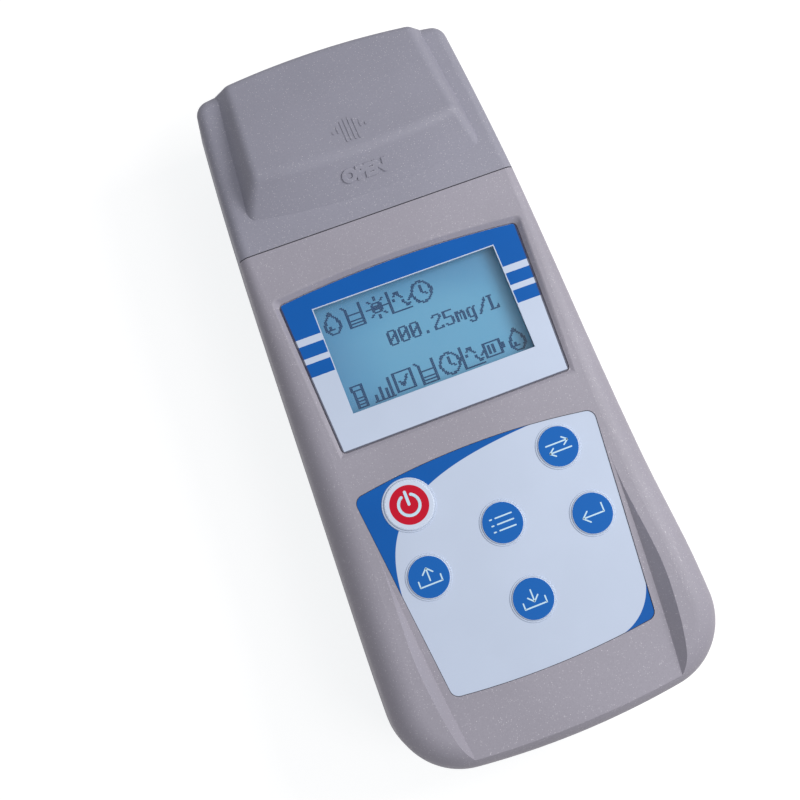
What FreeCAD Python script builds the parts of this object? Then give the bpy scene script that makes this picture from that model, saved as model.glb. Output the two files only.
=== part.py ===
import FreeCAD, Part
import math
import os
from FreeCAD import Vector

# A handheld photometer that reads nickel in water. X is to the right, Y towards the
# sample head, Z out of the face. The feet stand on z = 0. All lengths are millimetres.

# Lengths along the case, from the head to the foot
HEAD_LENGTH = 51.3
LABEL_MARGIN = 16.1
LABEL_LENGTH = 45.5
FACE_BRIDGE = 13.0
PAD_LENGTH = 59.0
FOOT_MARGIN = 21.5

# Outline of the case, seen from the face
HEAD_HALF = 38.4
SPLIT_HALF = 42.0
WAIST_HALF = 44.3
HIP_HALF = 46.5
SHOULDER_HALF = 47.5
FOOT_HALF = 47.4
HEAD_SAG = 3.2
FOOT_SAG = 4.8
HIP_RISE = 53.7
SHOULDER_RISE = 25.7
HEAD_CORNER_R = 4.5
FOOT_CORNER_R = 20.0

# Heights of the case
BASE_Z = 1.0
PART_Z = 22.0
FACE_Z = 43.0
CREST_RISE = 3.4
CREST_START_RISE = 67.7
CREST_FOOT_RISE = 28.0
CREST_END_SLOPE = 0.45
FOOT_DROP = 0.6
FOOT_PAST = 1.3
SKIN = 2.5
FACE_THICK = 4.0
BASE_DRAFT = 3.5
BASE_ROUND = 4.0
HEAD_EDGE_R = 3.0
SHOULDER_EDGE_R = 8.0
SEAM_GAP = 0.3
SEAM_REVEAL = 0.6
FIT_GAP = 0.3
COVER_GAP = 0.5

# Channel between the two shoulders
CHANNEL_START_HALF = 35.5
CHANNEL_MID_HALF = 34.0
CHANNEL_FOOT_HALF = 29.4
CHANNEL_MID_RISE = 41.7
CHANNEL_RUN = 0.98
CHANNEL_PAST = 4.0

# Display label, its window and the tilted pocket around it
LABEL_TOP_HALF = 36.1
LABEL_FOOT_HALF = 34.1
LABEL_SAG = 2.0
LABEL_CORNER_R = 1.3
LABEL_THICK = 0.5
LABEL_INSET = 0.45
LABEL_GAP = 0.3
POCKET_DEPTH = 1.0
POCKET_RUN = 1.9
POCKET_RISE = 0.5
POCKET_CORNER_R = 2.4
POCKET_EDGE_R = 0.9
WINDOW_WIDTH = 55.0
WINDOW_HEIGHT = 31.8
WINDOW_RISE = 25.5
WINDOW_LEDGE = 2.0
PANE_THICK = 1.0

# Keypad overlay and keys
PAD_TOP_HALF = 36.0
PAD_MID_HALF = 33.2
PAD_FOOT_HALF = 29.9
PAD_MID_DROP = 27.5
PAD_TOP_SAG = 3.0
PAD_FOOT_SAG = 1.9
PAD_CORNER_R = 2.5
PAD_THICK = 0.75
PAD_INSET = 0.25
PAD_GAP = 0.15
KEY_R = 6.0
POWER_KEY_R = 7.1
KEY_PROUD = 0.65
KEY_EDGE_R = 0.5
KEY_GAP = 0.2
KEY_FLANGE = 1.0
KEY_FLANGE_THICK = 0.7
KEY_STEM_R = 2.0
KEY_STEM = 0.25
KEY_TRAVEL = 0.4
DOME_R = 3.0
DOME_HEIGHT = 0.65
DOME_GAP = 0.1
KEY_PLACES = {
    "key_power": (-22.3, 6.6, POWER_KEY_R),
    "key_switch": (22.6, 6.2, KEY_R),
    "key_menu": (0.0, 20.3, KEY_R),
    "key_recall": (-24.4, 26.8, KEY_R),
    "key_enter": (24.4, 26.8, KEY_R),
    "key_save": (0.1, 42.5, KEY_R),
}

# Raised grip on the sliding cover
GRIP_TOP_Z = 50.5
GRIP_BACK_DROP = 5.0
GRIP_TOP_FRONT_HALF = 31.0
GRIP_TOP_BACK_HALF = 27.9
GRIP_BASE_FRONT_HALF = 37.3
GRIP_BASE_BACK_HALF = 34.0
GRIP_FRONT_RISE = 6.0
GRIP_FRONT_BULGE = 3.8
GRIP_TOP_RISE = 19.3
GRIP_TOP_BULGE = 2.2
GRIP_PAST = 1.0
GRIP_CORNER_R = 3.0
GRIP_RIDGE_R = 5.0
GRIP_EDGE_R = 2.0
GRIP_SKIN = 2.3
COVER_SKIN = 2.5

# Sample chamber
WELL_RISE = 21.6
CELL_R = 12.3
CELL_GAP = 0.3
WELL_WALL = 3.0
WELL_FLOOR_Z = 5.0
DECK_HALF = 34.6
DECK_MARGIN = 5.2
DECK_TOP_Z = 34.0
DECK_THICK = 2.5
DECK_WALL = 3.4
DECK_FOOT_Z = 19.5
DECK_END_WALL = 2.0
RAIL_TOP_Z = 36.0
LIP_REACH = 1.7
LIP_Z = 27.0
LIP_THICK = 2.0
LIP_LENGTH = 22.0
LIP_START = 1.6
RIM_THICK = 2.5
SEAL_WIDTH = 2.0
SEAL_THICK = 1.5

# Light path through the well
BEAM_Z = 18.0
BEAM_R = 2.0
ARM_REACH = 28.0
ARM_HALF = 7.0
SEAT_R = 4.1
OPTIC_R = 4.0
SEAT_START = 16.3
LENS_THICK = 2.4
LENS_CROWN = 1.2
LENS_GAP = 0.1
FILTER_THICK = 2.0
LED_R = 2.5
LED_LENGTH = 8.6
SLEEVE_GAP = 0.1
DIODE_LENGTH = 5.6
OPTIC_BOARD_HALF = 9.0
OPTIC_BOARD_HEIGHT = 20.0

# Boards
BOARD_THICK = 1.6
MAIN_BOARD_HALF = 31.0
MAIN_BOARD_Z = 24.0
MAIN_BOARD_FOOT_MARGIN = 15.2
MAIN_BOARD_HEAD_MARGIN = 5.4
MAIN_BOARD_CORNER_R = 2.0
PROCESSOR_PLACE = (0.0, 6.7)
PROCESSOR_HALF = 6.0
PROCESSOR_HEIGHT = 1.4
CAPACITOR_PLACES = [(-26.0, 2.7), (-26.0, -5.3), (20.0, 0.7)]
CAPACITOR_R = 2.5
CAPACITOR_HEIGHT = 5.2
PACKAGE_PLACES = [(-12.0, 44.7), (12.0, 44.7), (12.0, -13.3)]
PACKAGE_HALF = 2.6
PACKAGE_HEIGHT = 1.6
CHIP_CORNER_R = 0.4
SOCKET_PLACE = (-19.5, -38.8)
SOCKET_LENGTH = 11.0
SOCKET_WIDTH = 5.0
SOCKET_HEIGHT = 3.5
BUZZER_PLACE = (14.0, -39.3)
BUZZER_R = 6.0
BUZZER_HEIGHT = 6.0
HEADER_LENGTH = 40.0
HEADER_WIDTH = 2.5
HEADER_INSET = 4.0
LCD_BOARD_WIDTH = 75.0
LCD_BOARD_HEIGHT = 52.0
LCD_BEZEL_WIDTH = 64.0
LCD_BEZEL_HEIGHT = 42.0
LCD_BEZEL_SHEET = 0.4
LCD_GLASS_THICK = 2.2
LCD_GLASS_RIM = 2.0
BACKLIGHT_THICK = 2.7
LCD_GAP = 0.1
LCD_WINDOW_RIM = 0.6
KEY_BOARD_HALF = 31.0
KEY_BOARD_CORNER_R = 3.0
KEY_BOARD_MARGIN = 2.2
FLEX_INSET = 4.0
FLEX_HALF = 8.0
FLEX_SHEET = 0.3
FLEX_SOCKET = 3.0

# Batteries, bay and door
CELL_AA_R = 7.25
CELL_AA_LENGTH = 50.5
CELL_AA_NUB = 1.0
CELL_AA_NUB_R = 2.75
BATTERY_PITCH = 15.4
BATTERY_COUNT = 4
BAY_HALF = 32.3
BAY_WALL = 1.8
BAY_FOOT_MARGIN = 11.7
SPRING_ROOM_FOOT = 3.1
SPRING_ROOM_HEAD = 4.5
BAY_TOP_Z = 18.4
DOOR_THICK = 2.1
DOOR_LIP = 1.3
DOOR_LIP_THICK = 1.05
DOOR_GAP = 0.3
DOOR_RIDGES = 6
DOOR_RIDGE_PITCH = 2.2
DOOR_RIDGE_WIDTH = 1.0
DOOR_RIDGE_DEPTH = 0.5
DOOR_RIDGE_HALF = 11.0
DOOR_RIDGE_MARGIN = 12.6
CONTACT_SHEET = 0.4
CONTACT_WIDTH = 10.0

# Fasteners and feet
FOOT_R = 3.5
FOOT_SEAT = 0.6
REST_HALF_FOOT = 36.0
REST_FOOT_MARGIN = 23.2
REST_HALF_HEAD = 29.0
REST_HEAD_MARGIN = 30.7
BOSS_R = 4.3
SCREW_HEAD_R = 2.8
SCREW_HEAD = 2.0
SCREW_R = 1.5
SCREW_HOLE_GAP = 0.2
SCREW_SINK = 0.5
POST_INSET = 0.8
FOOT_SEAT_GAP = 0.1
SCREW_THREAD = 7.0
BOSS_FLOOR = 3.0
CASE_SCREW_FOOT_HALF = 38.2
CASE_SCREW_FOOT_MARGIN = 40.2
CASE_SCREW_HEAD_HALF = 35.8
DECK_SCREW_HALF = 26.0
DECK_SCREW_FRONT = 6.6
DECK_SCREW_BACK = 7.0
DECK_BOSS = 4.0
SMALL_SCREW_R = 1.0
SMALL_HEAD_R = 2.0
SMALL_HEAD = 1.2
SMALL_THREAD = 3.0
SMALL_BOSS_R = 2.3
LCD_SCREW_INSET = 2.9
KEY_SCREW_TOP_HALF = 9.8
KEY_SCREW_TOP_DROP = 5.8
KEY_SCREW_FOOT_HALF = 15.0
KEY_SCREW_FOOT_RISE = 8.7
MAIN_SCREW_INSET = 4.0

# Sizes that follow from the ones above
BODY_LENGTH = HEAD_LENGTH + LABEL_MARGIN + LABEL_LENGTH + FACE_BRIDGE + PAD_LENGTH + FOOT_MARGIN
HEAD_Y = BODY_LENGTH / 2
FOOT_Y = -BODY_LENGTH / 2
SPLIT_Y = HEAD_Y - HEAD_LENGTH
HIP_Y = FOOT_Y + HIP_RISE
SHOULDER_Y = FOOT_Y + SHOULDER_RISE
CREST_START_Y = FOOT_Y + CREST_START_RISE
CREST_Y = FOOT_Y + CREST_FOOT_RISE
CHANNEL_MID_Y = FOOT_Y + CHANNEL_MID_RISE
LABEL_FOOT_Y = SPLIT_Y - LABEL_MARGIN - LABEL_LENGTH
WINDOW_Y = LABEL_FOOT_Y + WINDOW_RISE
PAD_TOP_Y = LABEL_FOOT_Y - FACE_BRIDGE
PAD_MID_Y = PAD_TOP_Y - PAD_MID_DROP
PAD_FOOT_Y = PAD_TOP_Y - PAD_LENGTH
KEYS = {name: (x, PAD_TOP_Y - drop, radius) for name, (x, drop, radius) in KEY_PLACES.items()}
WIDE = SHOULDER_HALF + SHOULDER_EDGE_R
INNER_Z = FACE_Z - FACE_THICK
BASE_TOP_Z = BASE_Z + SKIN
CASE_END_Y = SPLIT_Y - SEAM_GAP / 2
COVER_START_Y = SPLIT_Y + SEAM_GAP / 2
COVER_INNER_Z = FACE_Z - COVER_SKIN
COVER_INNER_HALF = DECK_HALF + COVER_GAP
GRIP_FRONT_Y = SPLIT_Y + GRIP_FRONT_RISE
GRIP_TOP_Y = SPLIT_Y + GRIP_TOP_RISE
GRIP_BACK_Y = HEAD_Y + GRIP_PAST
GRIP_SUNK_Z = FACE_Z - HEAD_EDGE_R
WELL_Y = SPLIT_Y + WELL_RISE
DECK_BACK_Y = HEAD_Y - DECK_MARGIN
COVER_BACK_Y = DECK_BACK_Y + FIT_GAP
PAD_Z = FACE_Z - PAD_INSET
PAD_SEAT_Z = PAD_Z - PAD_THICK
KEY_TOP_Z = PAD_Z + KEY_PROUD
KEY_FLANGE_Z = INNER_Z - FIT_GAP
KEY_STEM_Z = KEY_FLANGE_Z - KEY_FLANGE_THICK - KEY_STEM
DOME_TOP_Z = KEY_STEM_Z - KEY_TRAVEL - DOME_GAP
KEY_BOARD_TOP_Z = DOME_TOP_Z - DOME_HEIGHT
KEY_BOARD_Z = KEY_BOARD_TOP_Z - BOARD_THICK
MAIN_BOARD_TOP_Z = MAIN_BOARD_Z + BOARD_THICK
BEZEL_TOP_Z = INNER_Z - LCD_GAP
GLASS_TOP_Z = BEZEL_TOP_Z - LCD_BEZEL_SHEET - LCD_GAP
GLASS_Z = GLASS_TOP_Z - LCD_GLASS_THICK
BACKLIGHT_Z = GLASS_Z - BACKLIGHT_THICK
LCD_BOARD_Z = BACKLIGHT_Z - BOARD_THICK
WELL_R = CELL_R + CELL_GAP
HOLDER_R = WELL_R + WELL_WALL
DECK_Z = DECK_TOP_Z - DECK_THICK
BATTERY_Z = BASE_Z + DOOR_THICK + DOOR_GAP + CELL_AA_R
POCKET_TILT = math.degrees(math.atan2(POCKET_DEPTH, LABEL_LENGTH + LABEL_SAG))
OPTIC_BOARD_Z = BEAM_Z - OPTIC_BOARD_HEIGHT / 2
BAY_START_Y = FOOT_Y + BAY_FOOT_MARGIN
BATTERY_START_Y = BAY_START_Y + SPRING_ROOM_FOOT
BAY_END_Y = BATTERY_START_Y + CELL_AA_LENGTH + SPRING_ROOM_HEAD
DOOR_RIDGE_Y = BAY_END_Y - DOOR_RIDGE_MARGIN
MAIN_BOARD_START_Y = FOOT_Y + MAIN_BOARD_FOOT_MARGIN
MAIN_BOARD_END_Y = SPLIT_Y - MAIN_BOARD_HEAD_MARGIN
MAIN_BOARD_MIDDLE_Y = (MAIN_BOARD_START_Y + MAIN_BOARD_END_Y) / 2
KEY_BOARD_START_Y = PAD_FOOT_Y + KEY_BOARD_MARGIN
KEY_BOARD_END_Y = PAD_TOP_Y + KEY_BOARD_MARGIN


def both_sides(places):
    """Each place and the one that mirrors it."""
    return [(side * x, y) for x, y in places for side in (1, -1)]


FOOT_PLACES = both_sides([
    (REST_HALF_FOOT, FOOT_Y + REST_FOOT_MARGIN),
    (REST_HALF_HEAD, HEAD_Y - REST_HEAD_MARGIN),
])
CASE_SCREW_PLACES = both_sides([
    (CASE_SCREW_FOOT_HALF, FOOT_Y + CASE_SCREW_FOOT_MARGIN),
    (CASE_SCREW_HEAD_HALF, WINDOW_Y + LCD_BOARD_HEIGHT / 2 + BOSS_R + FIT_GAP),
])
DECK_SCREW_PLACES = both_sides([
    (DECK_SCREW_HALF, SPLIT_Y + DECK_SCREW_FRONT),
    (DECK_SCREW_HALF, DECK_BACK_Y - DECK_SCREW_BACK),
])
KEY_SCREW_PLACES = both_sides([
    (KEY_SCREW_TOP_HALF, PAD_TOP_Y - KEY_SCREW_TOP_DROP),
    (KEY_SCREW_FOOT_HALF, PAD_FOOT_Y + KEY_SCREW_FOOT_RISE),
])
MAIN_SCREW_PLACES = both_sides([
    (MAIN_BOARD_HALF - MAIN_SCREW_INSET, MAIN_BOARD_START_Y + MAIN_SCREW_INSET),
    (MAIN_BOARD_HALF - MAIN_SCREW_INSET, MAIN_BOARD_END_Y - MAIN_SCREW_INSET),
])


def box(x0, x1, y0, y1, z0, z1):
    """An upright block between two corners."""
    return Part.makeBox(x1 - x0, y1 - y0, z1 - z0, Vector(x0, y0, z0))


def post(x, y, z0, z1, radius):
    """An upright cylinder."""
    return Part.makeCylinder(radius, z1 - z0, Vector(x, y, z0))


def rod_x(x0, x1, y, z, radius):
    """A cylinder lying along X."""
    return Part.makeCylinder(radius, abs(x1 - x0), Vector(min(x0, x1), y, z), Vector(1, 0, 0))


def rod_y(y0, y1, x, z, radius):
    """A cylinder lying along Y."""
    return Part.makeCylinder(radius, y1 - y0, Vector(x, y0, z), Vector(0, 1, 0))


def fuse(shapes):
    """One shape from several that touch or overlap."""
    return shapes[0].multiFuse(shapes[1:]).removeSplitter() if len(shapes) > 1 else shapes[0]


def cut(shape, tools):
    """The shape with every tool taken away."""
    return shape.cut(Part.makeCompound(tools)).removeSplitter()


def group(shapes):
    """Separate solids kept in one node."""
    return Part.makeCompound(shapes)


def mirrored(shape):
    """The shape on the other side of the middle plane."""
    return shape.mirror(Vector(0, 0, 0), Vector(1, 0, 0))


def upright_edges(shape, y_low, y_high):
    """Edges that run from the bottom of a prism to its top, within a range of Y."""
    found = []
    for edge in shape.Edges:
        first = edge.Vertexes[0].Point
        last = edge.Vertexes[-1].Point
        rise = abs(first.z - last.z)
        if rise > 0.5 * shape.BoundBox.ZLength and y_low < first.y < y_high:
            found.append(edge)
    return found


def plate(half, y0, y1, z0, z1, radius, x_middle=0.0):
    """A block with rounded upright corners."""
    body = box(x_middle - half, x_middle + half, y0, y1, z0, z1)
    return body.makeFillet(radius, upright_edges(body, y0 - 1, y1 + 1))


def arc(first, middle, last):
    """A round edge through three points."""
    return Part.Arc(first, middle, last).toShape()


def spline(points):
    """A smooth edge through its points."""
    curve = Part.BSplineCurve()
    curve.interpolate(points)
    return curve.toShape()


def plan_wire(z, inset):
    """The case outline at a height, pulled in by an inset."""
    head = HEAD_Y - inset
    foot = FOOT_Y + inset
    right = [
        Vector(HEAD_HALF - inset, head - HEAD_SAG, z),
        Vector(SPLIT_HALF - inset, SPLIT_Y, z),
        Vector(WAIST_HALF - inset, 0, z),
        Vector(HIP_HALF - inset, HIP_Y, z),
        Vector(SHOULDER_HALF - inset, SHOULDER_Y, z),
        Vector(FOOT_HALF - inset, foot + FOOT_SAG, z),
    ]
    left = [Vector(-point.x, point.y, z) for point in reversed(right)]
    edges = [
        arc(left[-1], Vector(0, head, z), right[0]),
        spline(right),
        arc(right[-1], Vector(0, foot, z), left[0]),
        spline(left),
    ]
    return Part.Wire(edges)


def plan_prism(z0, z1, inset):
    """The case outline raised straight, with its corners rounded."""
    body = Part.Face(plan_wire(z0, inset)).extrude(Vector(0, 0, z1 - z0))
    body = body.makeFillet(FOOT_CORNER_R - inset, upright_edges(body, FOOT_Y - 1, 0))
    return body.makeFillet(max(HEAD_CORNER_R - inset, 1.0), upright_edges(body, 0, HEAD_Y + 1))


def plan_taper(z0, inset0, z1, inset1):
    """The case outline drawn from one inset to another, with its corners rounded."""
    body = Part.makeLoft([plan_wire(z0, inset0), plan_wire(z1, inset1)], True, True)
    body = body.makeFillet(FOOT_CORNER_R - inset1, upright_edges(body, FOOT_Y - 1, 0))
    return body.makeFillet(max(HEAD_CORNER_R - inset1, 1.0), upright_edges(body, 0, HEAD_Y + 1))


def side_profile(y_head):
    """Side view of the upper case: a flat face, then the rise to the shoulders."""
    past_foot = FOOT_Y - FOOT_PAST
    crest_points = [
        Vector(0, CREST_START_Y, FACE_Z),
        Vector(0, CREST_Y, FACE_Z + CREST_RISE),
        Vector(0, past_foot, FACE_Z - FOOT_DROP),
    ]
    crest = Part.BSplineCurve()
    crest.interpolate(
        Points=crest_points,
        Tangents=[Vector(0, -1, 0), Vector(0, -1, 0), Vector(0, -1, -CREST_END_SLOPE)],
        TangentFlags=[True, True, True],
    )
    edges = [
        Part.makeLine(Vector(0, y_head, PART_Z), Vector(0, y_head, FACE_Z)),
        Part.makeLine(Vector(0, y_head, FACE_Z), crest_points[0]),
        crest.toShape(),
        Part.makeLine(crest_points[-1], Vector(0, past_foot, PART_Z)),
        Part.makeLine(Vector(0, past_foot, PART_Z), Vector(0, y_head, PART_Z)),
    ]
    return Part.Face(Part.Wire(edges))


def upper_blank():
    """The upper case as a full form, its edge round growing from the head to the shoulders."""
    profile = side_profile(CASE_END_Y).extrude(Vector(WIDE, 0, 0))
    half = plan_prism(PART_Z, FACE_Z + CREST_RISE + 2, 0.0).common(profile)
    side_edge = []
    for edge in half.Edges:
        bounds = edge.BoundBox
        level = bounds.ZMin > FACE_Z - 0.01 and bounds.ZMax < FACE_Z + 0.01
        if level and bounds.XMin > HEAD_HALF / 2 and bounds.YLength > SPLIT_Y:
            side_edge.append(edge)
    half = half.makeFillet(SHOULDER_EDGE_R, HEAD_EDGE_R, side_edge)
    return half.fuse(mirrored(half)).removeSplitter()


def channel_wire(z, run):
    """Outline of the sunk middle of the face, widened by a run."""
    past_foot = FOOT_Y - CHANNEL_PAST
    right = [
        Vector(CHANNEL_START_HALF + run, CREST_START_Y + 2, z),
        Vector(CHANNEL_MID_HALF + run, CHANNEL_MID_Y, z),
        Vector(CHANNEL_FOOT_HALF + run, past_foot, z),
    ]
    left = [Vector(-point.x, point.y, z) for point in reversed(right)]
    return Part.Wire([
        spline(right),
        Part.makeLine(right[-1], left[0]),
        spline(left),
        Part.makeLine(left[-1], right[0]),
    ])


def channel():
    """What is taken away between the shoulders, with sides that lean outwards."""
    height = 2 * CREST_RISE
    wires = [channel_wire(FACE_Z, 0.0), channel_wire(FACE_Z + height, CHANNEL_RUN * height)]
    return Part.makeLoft(wires, True, True)


def label_wire(grow, z):
    """Outline of the display label, measured up from its lower edge."""
    top = LABEL_TOP_HALF + grow
    foot = LABEL_FOOT_HALF + grow
    high = LABEL_LENGTH + grow
    corners = [
        Vector(-foot, -grow, z),
        Vector(foot, -grow, z),
        Vector(top, high, z),
        Vector(-top, high, z),
    ]
    return Part.Wire([
        Part.makeLine(corners[0], corners[1]),
        Part.makeLine(corners[1], corners[2]),
        arc(corners[2], Vector(0, high + LABEL_SAG, z), corners[3]),
        Part.makeLine(corners[3], corners[0]),
    ])


def label_prism(grow, z0, z1, radius):
    """The display label's outline raised straight, with rounded corners."""
    body = Part.Face(label_wire(grow, z0)).extrude(Vector(0, 0, z1 - z0))
    low = -grow - 1
    return body.makeFillet(radius, upright_edges(body, low, LABEL_LENGTH + LABEL_SAG + 5))


def window_prism(grow, z0, z1):
    """The display window's outline raised straight, in the label's own frame."""
    middle = WINDOW_Y - LABEL_FOOT_Y
    half_high = WINDOW_HEIGHT / 2 + grow
    half_wide = WINDOW_WIDTH / 2 + grow
    return box(-half_wide, half_wide, middle - half_high, middle + half_high, z0, z1)


def in_pocket(shape):
    """Moves a shape from the label's own frame to the tilted pocket floor."""
    moved = shape.copy()
    moved.rotate(Vector(0, 0, 0), Vector(1, 0, 0), -POCKET_TILT)
    moved.translate(Vector(0, LABEL_FOOT_Y, FACE_Z - LABEL_INSET))
    return moved


def pocket():
    """The sloping recess around the display label, its corners rounded."""
    lower = in_pocket(label_wire(LABEL_GAP, 0.0))
    upper = label_wire(LABEL_GAP + POCKET_RUN, FACE_Z + POCKET_RISE)
    upper.translate(Vector(0, LABEL_FOOT_Y, 0))
    body = Part.makeLoft([lower, upper], True, True)
    return body.makeFillet(POCKET_CORNER_R, upright_edges(body, FOOT_Y, HEAD_Y))


def pad_wire(grow, z):
    """Outline of the keypad overlay."""
    right = [
        Vector(PAD_TOP_HALF + grow, PAD_TOP_Y + grow, z),
        Vector(PAD_MID_HALF + grow, PAD_MID_Y, z),
        Vector(PAD_FOOT_HALF + grow, PAD_FOOT_Y - grow, z),
    ]
    left = [Vector(-point.x, point.y, z) for point in reversed(right)]
    return Part.Wire([
        arc(left[-1], Vector(0, PAD_TOP_Y + PAD_TOP_SAG + grow, z), right[0]),
        spline(right),
        arc(right[-1], Vector(0, PAD_FOOT_Y - PAD_FOOT_SAG - grow, z), left[0]),
        spline(left),
    ])


def pad_prism(grow, z0, z1):
    """The keypad overlay's outline raised straight, with rounded corners."""
    body = Part.Face(pad_wire(grow, z0)).extrude(Vector(0, 0, z1 - z0))
    edges = upright_edges(body, PAD_FOOT_Y - 10, PAD_TOP_Y + 10)
    return body.makeFillet(PAD_CORNER_R + grow, edges)


def lcd_screw_places():
    """The four corners where the display board is screwed."""
    x = LCD_BOARD_WIDTH / 2 - LCD_SCREW_INSET
    y = LCD_BOARD_HEIGHT / 2 - LCD_SCREW_INSET
    return [(sx * x, WINDOW_Y + sy * y) for sx in (1, -1) for sy in (1, -1)]


def rim_edges(shape, y_low, y_high):
    """Edges that bound a hole in the flat face, between two places along the case."""
    found = []
    for edge in shape.Edges:
        bounds = edge.BoundBox
        level = bounds.ZMin > FACE_Z - 0.01 and bounds.ZMax < FACE_Z + 0.01
        if level and y_low < bounds.YMin and bounds.YMax < y_high:
            found.append(edge)
    return found


def key_holes(z0, z1):
    """The round openings for the keys."""
    return [post(x, y, z0, z1, radius + KEY_GAP) for x, y, radius in KEYS.values()]


def upper_case():
    """The upper half of the case: a moulded shell that carries display and keys."""
    body = upper_blank()
    hollow = plan_prism(PART_Z - 1, INNER_Z, SKIN)
    hollow = hollow.common(box(-WIDE, WIDE, FOOT_Y, CASE_END_Y - SKIN, PART_Z - 2, INNER_Z + 1))
    body = cut(body, [hollow, channel(), pocket()])
    body = body.makeFillet(POCKET_EDGE_R, rim_edges(body, LABEL_FOOT_Y - FACE_BRIDGE / 2, CASE_END_Y - 1))
    tools = [
        in_pocket(label_prism(LABEL_GAP, -LABEL_THICK, POCKET_RISE, LABEL_CORNER_R + LABEL_GAP)),
        in_pocket(window_prism(WINDOW_LEDGE + FIT_GAP / 2, -LABEL_THICK - PANE_THICK, 0.0)),
        in_pocket(window_prism(LCD_WINDOW_RIM, -2 * FACE_THICK, 0.0)),
        pad_prism(PAD_GAP, PAD_SEAT_Z, FACE_Z + 1),
    ]
    body = cut(body, tools + key_holes(INNER_Z - 1, FACE_Z + 1))
    bosses = [post(x, y, PART_Z, INNER_Z + 1, BOSS_R) for x, y in CASE_SCREW_PLACES]
    pilots = [
        post(x, y, PART_Z - 1, PART_Z + SCREW_THREAD + 2, SCREW_R) for x, y in CASE_SCREW_PLACES
    ]
    small = [(x, y, LCD_BOARD_Z + BOARD_THICK) for x, y in lcd_screw_places()]
    small += [(x, y, KEY_BOARD_TOP_Z) for x, y in KEY_SCREW_PLACES]
    bosses += [post(x, y, z, INNER_Z + SCREW_SINK, SMALL_BOSS_R) for x, y, z in small]
    pilots += [post(x, y, z - 1, z + SMALL_THREAD, SMALL_SCREW_R) for x, y, z in small]
    space = plan_prism(PART_Z, INNER_Z + 1, 1.0)
    space = space.common(box(-WIDE, WIDE, FOOT_Y, CASE_END_Y - 1, PART_Z, INNER_Z + 1))
    bosses = [boss.common(space) for boss in bosses]
    return cut(fuse([body] + bosses), pilots)


def lower_blank():
    """The lower case as a full form, drawn in towards the bottom."""
    body = plan_taper(BASE_Z, BASE_DRAFT, PART_Z, 0.0)
    edges = [edge for edge in body.Edges if edge.BoundBox.ZMax < BASE_Z + 0.01]
    return body.makeFillet(BASE_ROUND, edges)


def door_space(gap):
    """The stepped channel of the battery door, or the door itself with a gap."""
    lip_z = BASE_Z + DOOR_LIP_THICK
    past_foot = FOOT_Y - 5
    narrow = box(
        -BAY_HALF + DOOR_LIP + gap, BAY_HALF - DOOR_LIP - gap,
        past_foot, BAY_END_Y - gap, BASE_Z - 1, BASE_Z + DOOR_THICK,
    )
    wide = box(
        -BAY_HALF + gap, BAY_HALF - gap, past_foot, BAY_END_Y - gap,
        lip_z + gap / 2, BASE_Z + DOOR_THICK,
    )
    return narrow.fuse(wide).removeSplitter()


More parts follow.
